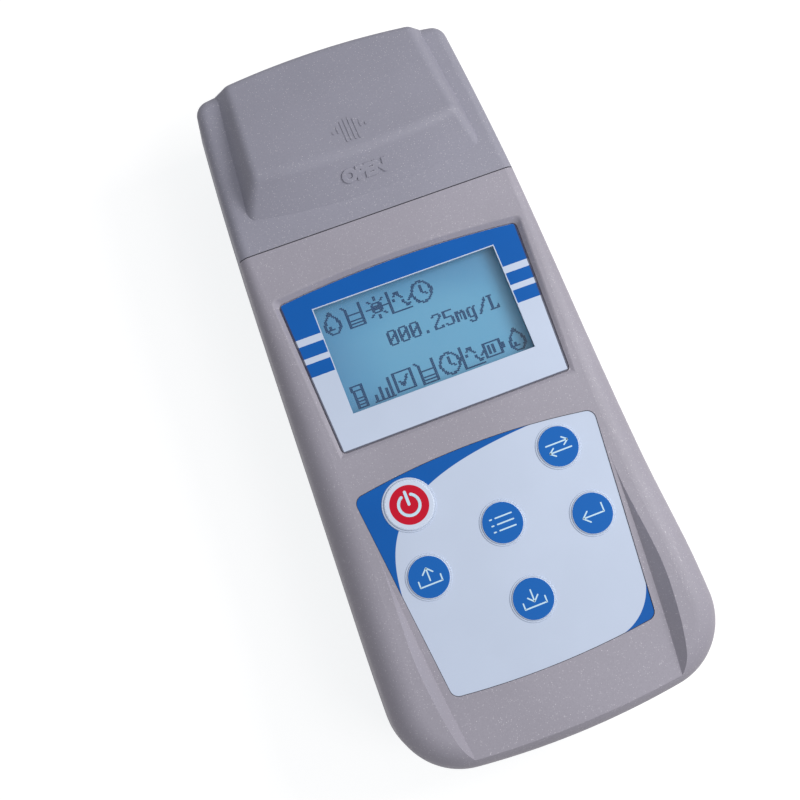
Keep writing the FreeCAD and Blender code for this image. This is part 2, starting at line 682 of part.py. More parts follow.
def lower_case():
    """The lower half of the case with the battery bay, the screw posts and the head's rim."""
    body = lower_blank()
    slope = BASE_DRAFT * (1 - SKIN / (PART_Z - BASE_Z))
    deep = plan_taper(BASE_TOP_Z, slope + SKIN, PART_Z, SKIN)
    under_rim = box(-WIDE, WIDE, FOOT_Y, HEAD_Y, BASE_TOP_Z - 1, PART_Z - RIM_THICK)
    behind_split = box(-WIDE, WIDE, FOOT_Y, CASE_END_Y - SKIN, BASE_TOP_Z - 1, PART_Z + 1)
    hollow = deep.common(under_rim.fuse(behind_split))
    deck_hole = box(
        -DECK_HALF - FIT_GAP, DECK_HALF + FIT_GAP, CASE_END_Y - SKIN - 1, DECK_BACK_Y + FIT_GAP,
        PART_Z - RIM_THICK - 1, PART_Z + 1,
    )
    body = cut(body, [hollow, deck_hole])
    bay = box(
        -BAY_HALF - BAY_WALL, BAY_HALF + BAY_WALL, BAY_START_Y - BAY_WALL, BAY_END_Y + BAY_WALL,
        BASE_Z + SCREW_SINK, BAY_TOP_Z + BAY_WALL,
    )
    sill = box(
        -BAY_HALF - BAY_WALL, BAY_HALF + BAY_WALL, FOOT_Y + SKIN, BAY_START_Y,
        BASE_Z + SCREW_SINK, BASE_Z + DOOR_THICK + DOOR_GAP + SKIN,
    )
    core = plan_taper(BASE_Z, BASE_DRAFT + POST_INSET, PART_Z, POST_INSET)
    inner = box(-BAY_HALF, BAY_HALF, BAY_START_Y, BAY_END_Y, BASE_Z - 1, BAY_TOP_Z)
    posts = [post(x, y, BASE_Z + SCREW_SINK, PART_Z, BOSS_R) for x, y in CASE_SCREW_PLACES]
    posts += [
        post(x, y, BASE_Z + SCREW_SINK, DECK_Z - DECK_BOSS, BOSS_R) for x, y in DECK_SCREW_PLACES
    ]
    posts += [
        post(x, y, BASE_TOP_Z - SCREW_SINK, MAIN_BOARD_Z, SMALL_BOSS_R) for x, y in MAIN_SCREW_PLACES
    ]
    core = core.fuse(box(
        -MAIN_BOARD_HALF, MAIN_BOARD_HALF, MAIN_BOARD_START_Y, DECK_BACK_Y, BASE_TOP_Z, FACE_Z
    ))
    added = [shape.common(core) for shape in [bay, sill] + posts]
    body = fuse([body] + added)
    door_lane = door_space(0.0)
    lane_top = box(
        -BAY_HALF, BAY_HALF, FOOT_Y - 5, BAY_END_Y,
        BASE_Z + DOOR_THICK - DOOR_GAP, BASE_Z + DOOR_THICK + DOOR_GAP,
    )
    reveal = cut(
        plan_prism(PART_Z - SEAM_REVEAL, PART_Z + 1, -1.0),
        [plan_prism(PART_Z - SEAM_REVEAL - 1, PART_Z + 2, SEAM_REVEAL)],
    )
    tools = [inner, door_lane, lane_top, reveal]
    for x, y in FOOT_PLACES:
        tools.append(post(x, y, BASE_Z - 1, BASE_Z + FOOT_SEAT, FOOT_R + FOOT_SEAT_GAP))
    head_gap = SCREW_HEAD_R + SCREW_HOLE_GAP
    for x, y in CASE_SCREW_PLACES:
        tools.append(post(x, y, BASE_Z - 1, PART_Z - BOSS_FLOOR, head_gap))
        tools.append(post(x, y, BASE_Z, PART_Z + 1, SCREW_R + SCREW_HOLE_GAP))
    for x, y in DECK_SCREW_PLACES:
        tools.append(post(x, y, BASE_Z - 1, DECK_Z - DECK_BOSS - BOSS_FLOOR, head_gap))
        tools.append(post(x, y, BASE_Z, DECK_Z, SCREW_R + SCREW_HOLE_GAP))
    for x, y in MAIN_SCREW_PLACES:
        tools.append(post(x, y, MAIN_BOARD_Z - SMALL_THREAD, MAIN_BOARD_Z + 1, SMALL_SCREW_R))
    return cut(body, tools)


def battery_door():
    """The door under the batteries, which slides off over the foot end."""
    body = lower_blank().common(door_space(DOOR_GAP))
    ridges = []
    for index in range(DOOR_RIDGES):
        y = DOOR_RIDGE_Y - index * DOOR_RIDGE_PITCH
        ridges.append(box(
            -DOOR_RIDGE_HALF, DOOR_RIDGE_HALF, y, y + DOOR_RIDGE_WIDTH,
            BASE_Z - 1, BASE_Z + DOOR_RIDGE_DEPTH,
        ))
    return cut(body, ridges)


def grip_section(front_half, back_half, front, bulge, back, z_front, z_back):
    """One closed flat outline of the grip, its front edge curved towards the foot."""
    z_middle = z_front + bulge * (z_front - z_back) / (back - front)
    corners = [
        Vector(-front_half, front, z_front),
        Vector(front_half, front, z_front),
        Vector(back_half, back, z_back),
        Vector(-back_half, back, z_back),
    ]
    return Part.Wire([
        arc(corners[0], Vector(0, front - bulge, z_middle), corners[1]),
        Part.makeLine(corners[1], corners[2]),
        Part.makeLine(corners[2], corners[3]),
        Part.makeLine(corners[3], corners[0]),
    ])


def grip_form(inset):
    """The raised grip of the cover, from below the face to past the head's end."""
    top_z = GRIP_TOP_Z - inset
    low = grip_section(
        GRIP_BASE_FRONT_HALF - inset, GRIP_BASE_BACK_HALF - inset,
        GRIP_FRONT_Y + inset, GRIP_FRONT_BULGE, GRIP_BACK_Y - inset, GRIP_SUNK_Z, GRIP_SUNK_Z,
    )
    high = grip_section(
        GRIP_TOP_FRONT_HALF - inset, GRIP_TOP_BACK_HALF - inset,
        GRIP_TOP_Y + inset / 2, GRIP_TOP_BULGE, GRIP_BACK_Y - inset, top_z, top_z - GRIP_BACK_DROP,
    )
    return Part.makeLoft([low, high], True, True)


def grip():
    """The grip trimmed to the head's end, with its ridge, corners and top edges rounded."""
    body = grip_form(0.0).common(plan_prism(GRIP_SUNK_Z - 1, GRIP_TOP_Z + 1, 0.0)).Solids[0]
    ridge = [
        edge for edge in body.Edges
        if edge.BoundBox.ZMin > GRIP_TOP_Z - 0.1 and edge.BoundBox.XLength > GRIP_TOP_FRONT_HALF
    ]
    body = body.makeFillet(GRIP_RIDGE_R, ridge)
    front_corners = [
        edge for edge in body.Edges
        if edge.BoundBox.ZLength > GRIP_RIDGE_R and edge.BoundBox.YMax < GRIP_TOP_Y
    ]
    body = body.makeFillet(GRIP_CORNER_R, front_corners)
    lowest = GRIP_TOP_Z - GRIP_BACK_DROP - 0.8
    rim = [
        edge for edge in body.Edges
        if edge.BoundBox.ZMin > lowest and edge.BoundBox.YMax > GRIP_TOP_Y + GRIP_RIDGE_R
    ]
    return body.makeFillet(GRIP_EDGE_R, rim)


def sample_cover():
    """The sliding cover: the whole top of the head, with lips that run in the deck's rails."""
    start_z = PART_Z + SEAM_GAP
    body = plan_prism(start_z, FACE_Z, 0.0)
    body = body.common(box(-WIDE, WIDE, COVER_START_Y, HEAD_Y + 1, start_z, FACE_Z))
    rim = []
    for edge in body.Edges:
        bounds = edge.BoundBox
        if bounds.ZMin > FACE_Z - 0.01 and bounds.YMax > COVER_START_Y + 1:
            rim.append(edge)
    body = body.makeFillet(HEAD_EDGE_R, rim)
    body = fuse([body, grip()])
    hollow = box(
        -COVER_INNER_HALF, COVER_INNER_HALF, COVER_START_Y - 1, COVER_BACK_Y,
        start_z - 1, COVER_INNER_Z,
    )
    grip_hollow = grip_form(GRIP_SKIN).common(
        box(-WIDE, WIDE, COVER_START_Y, COVER_BACK_Y, COVER_INNER_Z - 1, GRIP_TOP_Z)
    )
    body = cut(body, [hollow, grip_hollow])
    lips = []
    for side in (1, -1):
        outer = side * (COVER_INNER_HALF + COVER_GAP)
        inner = side * (COVER_INNER_HALF - LIP_REACH)
        lips.append(box(
            min(outer, inner), max(outer, inner), COVER_START_Y + LIP_START,
            COVER_START_Y + LIP_START + LIP_LENGTH, LIP_Z, LIP_Z + LIP_THICK,
        ))
    return fuse([body] + lips)


def chamber_deck():
    """The deck under the cover: a tray with a rail down each side for the cover's lips."""
    y0 = COVER_START_Y
    y1 = DECK_BACK_Y
    top = box(-DECK_HALF, DECK_HALF, y0, y1, DECK_Z, DECK_TOP_Z)
    front = box(-DECK_HALF, DECK_HALF, y0, y0 + DECK_END_WALL, DECK_FOOT_Z, DECK_TOP_Z)
    back = box(-DECK_HALF, DECK_HALF, y1 - DECK_END_WALL, y1, DECK_FOOT_Z, DECK_TOP_Z)
    sides = []
    grooves = []
    for side in (1, -1):
        inner = side * (DECK_HALF - DECK_WALL)
        outer = side * DECK_HALF
        sides.append(box(min(inner, outer), max(inner, outer), y0, y1, DECK_FOOT_Z, RAIL_TOP_Z))
        floor = side * (COVER_INNER_HALF - LIP_REACH - FIT_GAP)
        past = side * (DECK_HALF + 1)
        grooves.append(box(
            min(floor, past), max(floor, past), y0 - 1, y1 + 1,
            LIP_Z - FIT_GAP, LIP_Z + LIP_THICK + FIT_GAP,
        ))
    bosses = [post(x, y, DECK_Z - DECK_BOSS, DECK_Z + 1, BOSS_R) for x, y in DECK_SCREW_PLACES]
    pilots = [
        post(x, y, DECK_Z - DECK_BOSS - 1, DECK_Z + 1, SCREW_R) for x, y in DECK_SCREW_PLACES
    ]
    mouth = post(0, WELL_Y, DECK_Z - 1, DECK_TOP_Z + 1, HOLDER_R + 0.1)
    return cut(fuse([top, front, back] + sides + bosses), grooves + pilots + [mouth])


def cell_holder():
    """The well for the sample cell, with the light path bored across it."""
    tube = post(0, WELL_Y, BASE_TOP_Z, DECK_TOP_Z + SEAL_THICK / 2, HOLDER_R)
    arms = box(
        -ARM_REACH, ARM_REACH, WELL_Y - ARM_HALF, WELL_Y + ARM_HALF,
        BASE_TOP_Z, BEAM_Z + ARM_HALF,
    )
    tools = [
        post(0, WELL_Y, WELL_FLOOR_Z, DECK_TOP_Z + SEAL_THICK, WELL_R),
        rod_x(-SEAT_START - 1, SEAT_START + 1, WELL_Y, BEAM_Z, BEAM_R),
        rod_x(SEAT_START, ARM_REACH + 1, WELL_Y, BEAM_Z, SEAT_R),
        rod_x(-ARM_REACH - 1, -SEAT_START, WELL_Y, BEAM_Z, SEAT_R),
    ]
    for side in (1, -1):
        for y, z in optic_screw_places():
            start = side * (ARM_REACH - SMALL_THREAD)
            tools.append(rod_x(start, side * (ARM_REACH + 1), y, z, SMALL_SCREW_R))
    return cut(fuse([tube, arms]), tools)


def optic_screw_places():
    """Where the two light path boards are screwed to the arms."""
    offset = ARM_HALF - SMALL_HEAD_R + 0.2
    return [(WELL_Y - offset, BEAM_Z - offset - 1), (WELL_Y + offset, BEAM_Z - offset - 1)]


def light_seal():
    """Soft ring around the mouth of the well."""
    outer = HOLDER_R + 0.3 + SEAL_WIDTH
    ring = post(0, WELL_Y, DECK_TOP_Z, DECK_TOP_Z + SEAL_THICK, outer)
    return cut(ring, [post(0, WELL_Y, DECK_TOP_Z - 1, DECK_TOP_Z + 3, HOLDER_R + 0.3)])


def lens(side):
    """A lens with one flat and one domed face, its flat face towards the well."""
    start = SEAT_START + LENS_GAP
    rim = start + LENS_THICK - LENS_CROWN
    ball_r = (OPTIC_R ** 2 + LENS_CROWN ** 2) / (2 * LENS_CROWN)
    disc = rod_x(start, rim + LENS_CROWN, WELL_Y, BEAM_Z, OPTIC_R)
    ball = Part.makeSphere(ball_r, Vector(rim + LENS_CROWN - ball_r, WELL_Y, BEAM_Z))
    body = disc.common(ball)
    return body if side > 0 else mirrored(body)


def lamp_led():
    """The lamp: a round package with a domed end, in its sleeve."""
    tip = -ARM_REACH + LED_LENGTH
    body = rod_x(-ARM_REACH + 0.1, tip - LED_R, WELL_Y, BEAM_Z, LED_R)
    dome = Part.makeSphere(LED_R, Vector(tip - LED_R, WELL_Y, BEAM_Z))
    return fuse([body, dome])


def lamp_sleeve():
    """The tube that centres the lamp in its seat."""
    end = -(SEAT_START + LENS_GAP + LENS_THICK + LENS_GAP)
    body = rod_x(-ARM_REACH + 0.1, end, WELL_Y, BEAM_Z, OPTIC_R)
    return cut(body, [rod_x(-ARM_REACH - 1, end + 1, WELL_Y, BEAM_Z, LED_R + SLEEVE_GAP)])


def optical_filter():
    """The coloured glass disc in front of the detector."""
    start = SEAT_START + LENS_GAP * 2 + LENS_THICK
    return rod_x(start, start + FILTER_THICK, WELL_Y, BEAM_Z, OPTIC_R)


def photodiode():
    """The detector in its round can."""
    return rod_x(ARM_REACH - DIODE_LENGTH, ARM_REACH - 0.1, WELL_Y, BEAM_Z, OPTIC_R)


def optic_board(side):
    """A small upright board on the end of one arm."""
    start = side * ARM_REACH
    end = side * (ARM_REACH + BOARD_THICK)
    body = box(
        min(start, end), max(start, end), WELL_Y - OPTIC_BOARD_HALF, WELL_Y + OPTIC_BOARD_HALF,
        OPTIC_BOARD_Z, OPTIC_BOARD_Z + OPTIC_BOARD_HEIGHT,
    )
    holes = []
    for y, z in optic_screw_places():
        holes.append(rod_x(start - side, end + side, y, z, SMALL_SCREW_R + 0.1))
    return cut(body, holes)


def screw(x, y, z, up, head_r, head, shank_r, length):
    """A pan head screw whose head's flat side is at z, its shank pointing up or down."""
    way = 1 if up else -1
    head_body = post(x, y, min(z, z - way * head), max(z, z - way * head), head_r)
    shank = post(x, y, min(z, z + way * length), max(z, z + way * length), shank_r)
    return fuse([head_body, shank])


def case_screws():
    """Four screws up through the lower case into the upper case."""
    length = BOSS_FLOOR + SCREW_THREAD
    z = PART_Z - BOSS_FLOOR
    return group([
        screw(x, y, z, True, SCREW_HEAD_R, SCREW_HEAD, SCREW_R - 0.05, length)
        for x, y in CASE_SCREW_PLACES
    ])


def deck_screws():
    """Four screws up through the lower case into the chamber deck."""
    z = DECK_Z - DECK_BOSS - BOSS_FLOOR
    return group([
        screw(x, y, z, True, SCREW_HEAD_R, SCREW_HEAD, SCREW_R - 0.05, BOSS_FLOOR + DECK_BOSS)
        for x, y in DECK_SCREW_PLACES
    ])


def small_screws(places, z, up):
    """Small screws that hold a board of standard thickness."""
    return group([
        screw(x, y, z, up, SMALL_HEAD_R, SMALL_HEAD, SMALL_SCREW_R - 0.05, BOARD_THICK + 2)
        for x, y in places
    ])


def optics_screws():
    """Two small screws through each light path board into its arm."""
    screws = []
    for side in (1, -1):
        face = side * (ARM_REACH + BOARD_THICK)
        for y, z in optic_screw_places():
            head = rod_x(face, face + side * SMALL_HEAD, y, z, SMALL_HEAD_R)
            shank = rod_x(face, side * (ARM_REACH - 2), y, z, SMALL_SCREW_R - 0.05)
            screws.append(fuse([head, shank]))
    return group(screws)


def holed_board(body, places):
    """A board with clearance holes for its screws."""
    bounds = body.BoundBox
    holes = [post(x, y, bounds.ZMin - 1, bounds.ZMax + 1, SMALL_SCREW_R + 0.1) for x, y in places]
    return cut(body, holes)


def main_board():
    """The main circuit board, on four posts of the lower case."""
    body = plate(
        MAIN_BOARD_HALF, MAIN_BOARD_START_Y, MAIN_BOARD_END_Y, MAIN_BOARD_Z, MAIN_BOARD_TOP_Z,
        MAIN_BOARD_CORNER_R,
    )
    return holed_board(body, MAIN_SCREW_PLACES)


def chip(x, y, z, half, height):
    """A square flat package standing on a board."""
    return plate(half, y - half, y + half, z, z + height, CHIP_CORNER_R, x)


def board_components():
    """The taller packages on the main board, as separate solids."""
    z = MAIN_BOARD_TOP_Z
    middle = MAIN_BOARD_MIDDLE_Y
    parts = [
        post(x, middle + y, z, z + CAPACITOR_HEIGHT, CAPACITOR_R) for x, y in CAPACITOR_PLACES
    ]
    parts += [chip(x, middle + y, z, PACKAGE_HALF, PACKAGE_HEIGHT) for x, y in PACKAGE_PLACES]
    x, y = SOCKET_PLACE
    parts.append(box(
        x - SOCKET_LENGTH / 2, x + SOCKET_LENGTH / 2,
        middle + y - SOCKET_WIDTH / 2, middle + y + SOCKET_WIDTH / 2, z, z + SOCKET_HEIGHT,
    ))
    return group(parts)


def processor_chip():
    """The processor in the middle of the main board."""
    x, y = PROCESSOR_PLACE
    return chip(x, MAIN_BOARD_MIDDLE_Y + y, MAIN_BOARD_TOP_Z, PROCESSOR_HALF, PROCESSOR_HEIGHT)


def buzzer():
    """The round sounder on the main board."""
    x, y = BUZZER_PLACE
    return post(
        x, MAIN_BOARD_MIDDLE_Y + y, MAIN_BOARD_TOP_Z, MAIN_BOARD_TOP_Z + BUZZER_HEIGHT, BUZZER_R
    )


def display_board():
    """The circuit board that carries the display."""
    body = plate(
        LCD_BOARD_WIDTH / 2, WINDOW_Y - LCD_BOARD_HEIGHT / 2, WINDOW_Y + LCD_BOARD_HEIGHT / 2,
        LCD_BOARD_Z, LCD_BOARD_Z + BOARD_THICK, 1.5,
    )
    return holed_board(body, lcd_screw_places())


def centred(width, height, z0, z1):
    """A block centred on the display window."""
    return box(
        -width / 2, width / 2, WINDOW_Y - height / 2, WINDOW_Y + height / 2, z0, z1
    )


def lcd_bezel():
    """The sheet metal frame folded over the display glass."""
    body = centred(LCD_BEZEL_WIDTH, LCD_BEZEL_HEIGHT, BACKLIGHT_Z, BEZEL_TOP_Z)
    sheet = 2 * LCD_BEZEL_SHEET
    hollow = centred(
        LCD_BEZEL_WIDTH - sheet, LCD_BEZEL_HEIGHT - sheet, BACKLIGHT_Z - 1,
        BEZEL_TOP_Z - LCD_BEZEL_SHEET,
    )
    view = centred(
        WINDOW_WIDTH + 2 * LCD_WINDOW_RIM, WINDOW_HEIGHT + 2 * LCD_WINDOW_RIM,
        BACKLIGHT_Z, BEZEL_TOP_Z + 1,
    )
    return cut(body, [hollow, view])


def lcd_stack(z0, z1):
    """One layer of the display inside the metal frame."""
    return centred(
        LCD_BEZEL_WIDTH - LCD_GLASS_RIM, LCD_BEZEL_HEIGHT - LCD_GLASS_RIM, z0, z1
    )


def display_header():
    """The pin strip between the main board and the display board."""
    y = WINDOW_Y + LCD_BOARD_HEIGHT / 2 - HEADER_INSET
    return box(
        -HEADER_LENGTH / 2, HEADER_LENGTH / 2, y - HEADER_WIDTH / 2, y + HEADER_WIDTH / 2,
        MAIN_BOARD_TOP_Z, LCD_BOARD_Z,
    )


def key_board():
    """The circuit board under the keys."""
    body = plate(
        KEY_BOARD_HALF, KEY_BOARD_START_Y, KEY_BOARD_END_Y, KEY_BOARD_Z, KEY_BOARD_TOP_Z,
        KEY_BOARD_CORNER_R,
    )
    return holed_board(body, KEY_SCREW_PLACES)


def key_domes():
    """The snap domes on the key board, one under each key."""
    ball_r = (DOME_R ** 2 + DOME_HEIGHT ** 2) / (2 * DOME_HEIGHT)
    domes = []
    for x, y, _ in KEYS.values():
        ball = Part.makeSphere(ball_r, Vector(x, y, DOME_TOP_Z - ball_r))
        domes.append(ball.common(post(x, y, KEY_BOARD_TOP_Z, DOME_TOP_Z + 1, DOME_R)))
    return group(domes)


def key_flex():
    """The flat cable from the key board down to the main board."""
    y = KEY_BOARD_START_Y + FLEX_INSET
    sheet = box(
        -FLEX_HALF, FLEX_HALF, y, y + FLEX_SHEET, MAIN_BOARD_TOP_Z, KEY_BOARD_Z
    )
    socket = box(
        -FLEX_HALF, FLEX_HALF, y, y + FLEX_SOCKET, MAIN_BOARD_TOP_Z, MAIN_BOARD_TOP_Z + 1
    )
    return fuse([sheet, socket])


def key(x, y, radius):
    """One key: a cap, a flange that keeps it in the face and a stem over its dome."""
    cap = post(x, y, KEY_FLANGE_Z - KEY_FLANGE_THICK, KEY_TOP_Z, radius)
    rim = [edge for edge in cap.Edges if edge.BoundBox.ZMin > KEY_TOP_Z - 0.01]
    cap = cap.makeFillet(KEY_EDGE_R, rim)
    flange = post(x, y, KEY_FLANGE_Z - KEY_FLANGE_THICK, KEY_FLANGE_Z, radius + KEY_FLANGE)
    stem = post(x, y, KEY_STEM_Z, KEY_FLANGE_Z, KEY_STEM_R)
    return fuse([cap, flange, stem])


def keypad_overlay():
    """The printed overlay around the keys."""
    return cut(pad_prism(0.0, PAD_SEAT_Z, PAD_Z), key_holes(PAD_SEAT_Z - 1, PAD_Z + 1))


def display_label():
    """The printed label around the display window."""
    body = label_prism(0.0, -LABEL_THICK, 0.0, LABEL_CORNER_R)
    return in_pocket(cut(body, [window_prism(0.0, -LABEL_THICK - 1, 1.0)]))


def display_window():
    """The clear pane under the label's window."""
    return in_pocket(window_prism(WINDOW_LEDGE, -LABEL_THICK - PANE_THICK, -LABEL_THICK))


def battery_x(index):
    """The middle of one battery across the bay."""
    return (index - (BATTERY_COUNT - 1) / 2) * BATTERY_PITCH


def battery(index):
    """One round battery, its raised end towards the foot or the head in turn."""
    x = battery_x(index)
    y0 = BATTERY_START_Y
    y1 = y0 + CELL_AA_LENGTH
    if index % 2 == 0:
        can = rod_y(y0, y1 - CELL_AA_NUB, x, BATTERY_Z, CELL_AA_R)
        nub = rod_y(y1 - CELL_AA_NUB, y1, x, BATTERY_Z, CELL_AA_NUB_R)
    else:
        can = rod_y(y0 + CELL_AA_NUB, y1, x, BATTERY_Z, CELL_AA_R)
        nub = rod_y(y0, y0 + CELL_AA_NUB, x, BATTERY_Z, CELL_AA_NUB_R)
    return fuse([can, nub])


def battery_plates():
    """Flat contacts at the foot end of the bay, one for each battery."""
    plates = []
    for index in range(BATTERY_COUNT):
        x = battery_x(index)
        plates.append(box(
            x - CONTACT_WIDTH / 2, x + CONTACT_WIDTH / 2, BAY_START_Y, BAY_START_Y + CONTACT_SHEET,
            BATTERY_Z - CELL_AA_R + 1, BATTERY_Z + CELL_AA_R - 1,
        ))
    return group(plates)


def battery_springs():
    """Folded leaf springs at both ends that press on the batteries."""
    springs = []
    for index in range(BATTERY_COUNT):
        x = battery_x(index)
        x0 = x - CONTACT_WIDTH / 2 + 1
        x1 = x + CONTACT_WIDTH / 2 - 1
        low = BATTERY_Z - CELL_AA_R + 2
        high = BATTERY_Z + CELL_AA_R - 2
        for wall, way, tip in (
            (BAY_END_Y, -1, BATTERY_START_Y + CELL_AA_LENGTH),
            (BAY_START_Y + CONTACT_SHEET, 1, BATTERY_START_Y),
        ):
            reach = tip - way * 0.1
            points = [
                Vector(x0, wall, low), Vector(x0, wall, high),
                Vector(x0, wall + way * CONTACT_SHEET, high),
                Vector(x0, reach, BATTERY_Z + 1), Vector(x0, reach, BATTERY_Z - 1),
                Vector(x0, wall + way * CONTACT_SHEET, low), Vector(x0, wall, low),
            ]
            solid = Part.Face(Part.makePolygon(points)).extrude(Vector(x1 - x0, 0, 0))
            springs.append(solid)
    return group(springs)


def rubber_feet():
    """Four round feet in shallow seats."""
    return group([post(x, y, 0.0, BASE_Z + FOOT_SEAT, FOOT_R) for x, y in FOOT_PLACES])


def build():
    """Every sub-part by name."""
    parts = {
        "upper_case": upper_case(),
        "lower_case": lower_case(),
        "sample_cover": sample_cover(),
        "battery_door": battery_door(),
        "display_label": display_label(),
        "display_window": display_window(),
        "keypad_overlay": keypad_overlay(),
        "chamber_deck": chamber_deck(),
        "cell_holder": cell_holder(),
        "light_seal": light_seal(),
        "lamp_board": optic_board(-1),
        "lamp_led": lamp_led(),
        "lamp_sleeve": lamp_sleeve(),
        "lamp_lens": lens(-1),
        "detector_board": optic_board(1),
        "detector_lens": lens(1),
        "optical_filter": optical_filter(),
        "photodiode": photodiode(),
        "optics_screws": optics_screws(),
        "main_board": main_board(),
        "processor_chip": processor_chip(),
        "board_components": board_components(),
        "buzzer": buzzer(),
        "display_board": display_board(),
        "display_header": display_header(),
        "lcd_bezel": lcd_bezel(),
        "lcd_glass": lcd_stack(GLASS_Z, GLASS_TOP_Z),
        "lcd_backlight": lcd_stack(BACKLIGHT_Z, GLASS_Z),
        "key_board": key_board(),
        "key_domes": key_domes(),
        "key_flex": key_flex(),
        "battery_plates": battery_plates(),
        "battery_springs": battery_springs(),
        "rubber_feet": rubber_feet(),
        "case_screws": case_screws(),
        "deck_screws": deck_screws(),
        "display_screws": small_screws(lcd_screw_places(), LCD_BOARD_Z, True),
        "key_board_screws": small_screws(KEY_SCREW_PLACES, KEY_BOARD_Z, True),
        "main_board_screws": small_screws(MAIN_SCREW_PLACES, MAIN_BOARD_TOP_Z, False),
    }
    for name, (x, y, radius) in KEYS.items():
        parts[name] = key(x, y, radius)
    for index in range(BATTERY_COUNT):
        parts["battery_{}".format(index + 1)] = battery(index)
    return parts


def main():
    """Writes one file for each sub-part."""
    os.makedirs("parts", exist_ok=True)
    for name, shape in build().items():
        shape.exportStep("parts/{}.step".format(name))
        print(name, len(shape.Solids), round(shape.Volume, 1), shape.isValid())


main()
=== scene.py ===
"""Handheld nickel ion detector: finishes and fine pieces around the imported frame."""
import logging
import math
from dataclasses import dataclass, field
from enum import Enum
from typing import Any, Callable, Dict, List, Sequence, Tuple, Union

import bmesh
import bpy
from mathutils import Matrix, Vector


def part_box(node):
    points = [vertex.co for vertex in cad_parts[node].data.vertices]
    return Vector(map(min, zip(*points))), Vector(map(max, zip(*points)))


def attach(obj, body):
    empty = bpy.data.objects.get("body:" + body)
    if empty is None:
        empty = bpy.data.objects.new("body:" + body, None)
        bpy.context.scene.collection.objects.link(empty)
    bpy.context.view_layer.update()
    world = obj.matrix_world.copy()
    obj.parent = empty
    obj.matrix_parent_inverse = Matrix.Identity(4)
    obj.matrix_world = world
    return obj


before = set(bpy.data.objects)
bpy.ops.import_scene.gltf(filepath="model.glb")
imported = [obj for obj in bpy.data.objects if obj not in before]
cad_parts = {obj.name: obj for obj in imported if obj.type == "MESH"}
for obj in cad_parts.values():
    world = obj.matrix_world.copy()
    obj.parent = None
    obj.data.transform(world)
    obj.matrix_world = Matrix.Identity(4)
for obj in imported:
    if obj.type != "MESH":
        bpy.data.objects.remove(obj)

LOG = logging.getLogger("detector")
MM = 0.001
PER_METRE = 1000.0
WELD = 1e-7
CLOUD_RANGE = (0.3, 0.7)
SHARP_DEGREES = 35
DISC_SIDES = 12
JOINT_SHARE = 0.98
Point = Tuple[float, float]
Colour = Tuple[float, float, float]
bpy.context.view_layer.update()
WINDOW_Y = (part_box("display_window")[0].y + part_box("display_window")[1].y) / 2 / MM


def srgb(red: int, green: int, blue: int) -> Colour:
    """Turns screen colour bytes into the linear values that a shader takes.

    Args:
        red: Red from 0 to 255.
        green: Green from 0 to 255.
        blue: Blue from 0 to 255.

    Returns:
        The linear colour.
    """
    def linear(byte: int) -> float:
        share = byte / 255
        return share / 12.92 if share <= 0.04045 else ((share + 0.055) / 1.055) ** 2.4

    return linear(red), linear(green), linear(blue)


def toned(colour: Colour, tone: float) -> Colour:
    """A colour made darker or lighter by a factor."""
    return tuple(tone * channel for channel in colour)


class Sock:
    """A shader value: arithmetic on it adds Math nodes."""

    def __init__(self, shader: "Shader", socket: Any) -> None:
        """Wraps an output socket of a shader's tree."""
        self.shader = shader
        self.socket = socket

    def _math(self, operation: str, *values: Union["Sock", float]) -> "Sock":
        """Adds one Math node.

        Args:
            operation: The node's operation.
            values: Its values, in order.

        Returns:
            The result.
        """
        return self.shader.node("ShaderNodeMath", {"operation": operation}, dict(enumerate(values)))

    def __add__(self, other: Union["Sock", float]) -> "Sock":
        """This plus the other."""
        return self._math("ADD", self, other)

    __radd__ = __add__

    def __sub__(self, other: Union["Sock", float]) -> "Sock":
        """This minus the other."""
        return self._math("SUBTRACT", self, other)

    def __rsub__(self, other: float) -> "Sock":
        """A number minus this."""
        return self._math("SUBTRACT", other, self)

    def __mul__(self, other: Union["Sock", float]) -> "Sock":
        """This times the other."""
        return self._math("MULTIPLY", self, other)

    __rmul__ = __mul__

    def __truediv__(self, other: Union["Sock", float]) -> "Sock":
        """This over the other."""
        return self._math("DIVIDE", self, other)

    def __pow__(self, power: float) -> "Sock":
        """This to a power."""
        return self._math("POWER", self, power)

    def __abs__(self) -> "Sock":
        """This without its sign."""
        return self._math("ABSOLUTE", self)

    def low(self, other: Union["Sock", float]) -> "Sock":
        """The lower of the two."""
        return self._math("MINIMUM", self, other)

    def high(self, other: Union["Sock", float]) -> "Sock":
        """The higher of the two."""
        return self._math("MAXIMUM", self, other)

    def step(self, start: float, end: float) -> "Sock":
        """A smooth step from 0 at start to 1 at end."""
        settings = {"interpolation_type": "SMOOTHSTEP"}
        rising = end > start
        inputs = {
            0: self,
            1: min(start, end),
            2: max(start, end),
            3: 0.0 if rising else 1.0,
            4: 1.0 if rising else 0.0,
        }
        return self.shader.node("ShaderNodeMapRange", settings, inputs)


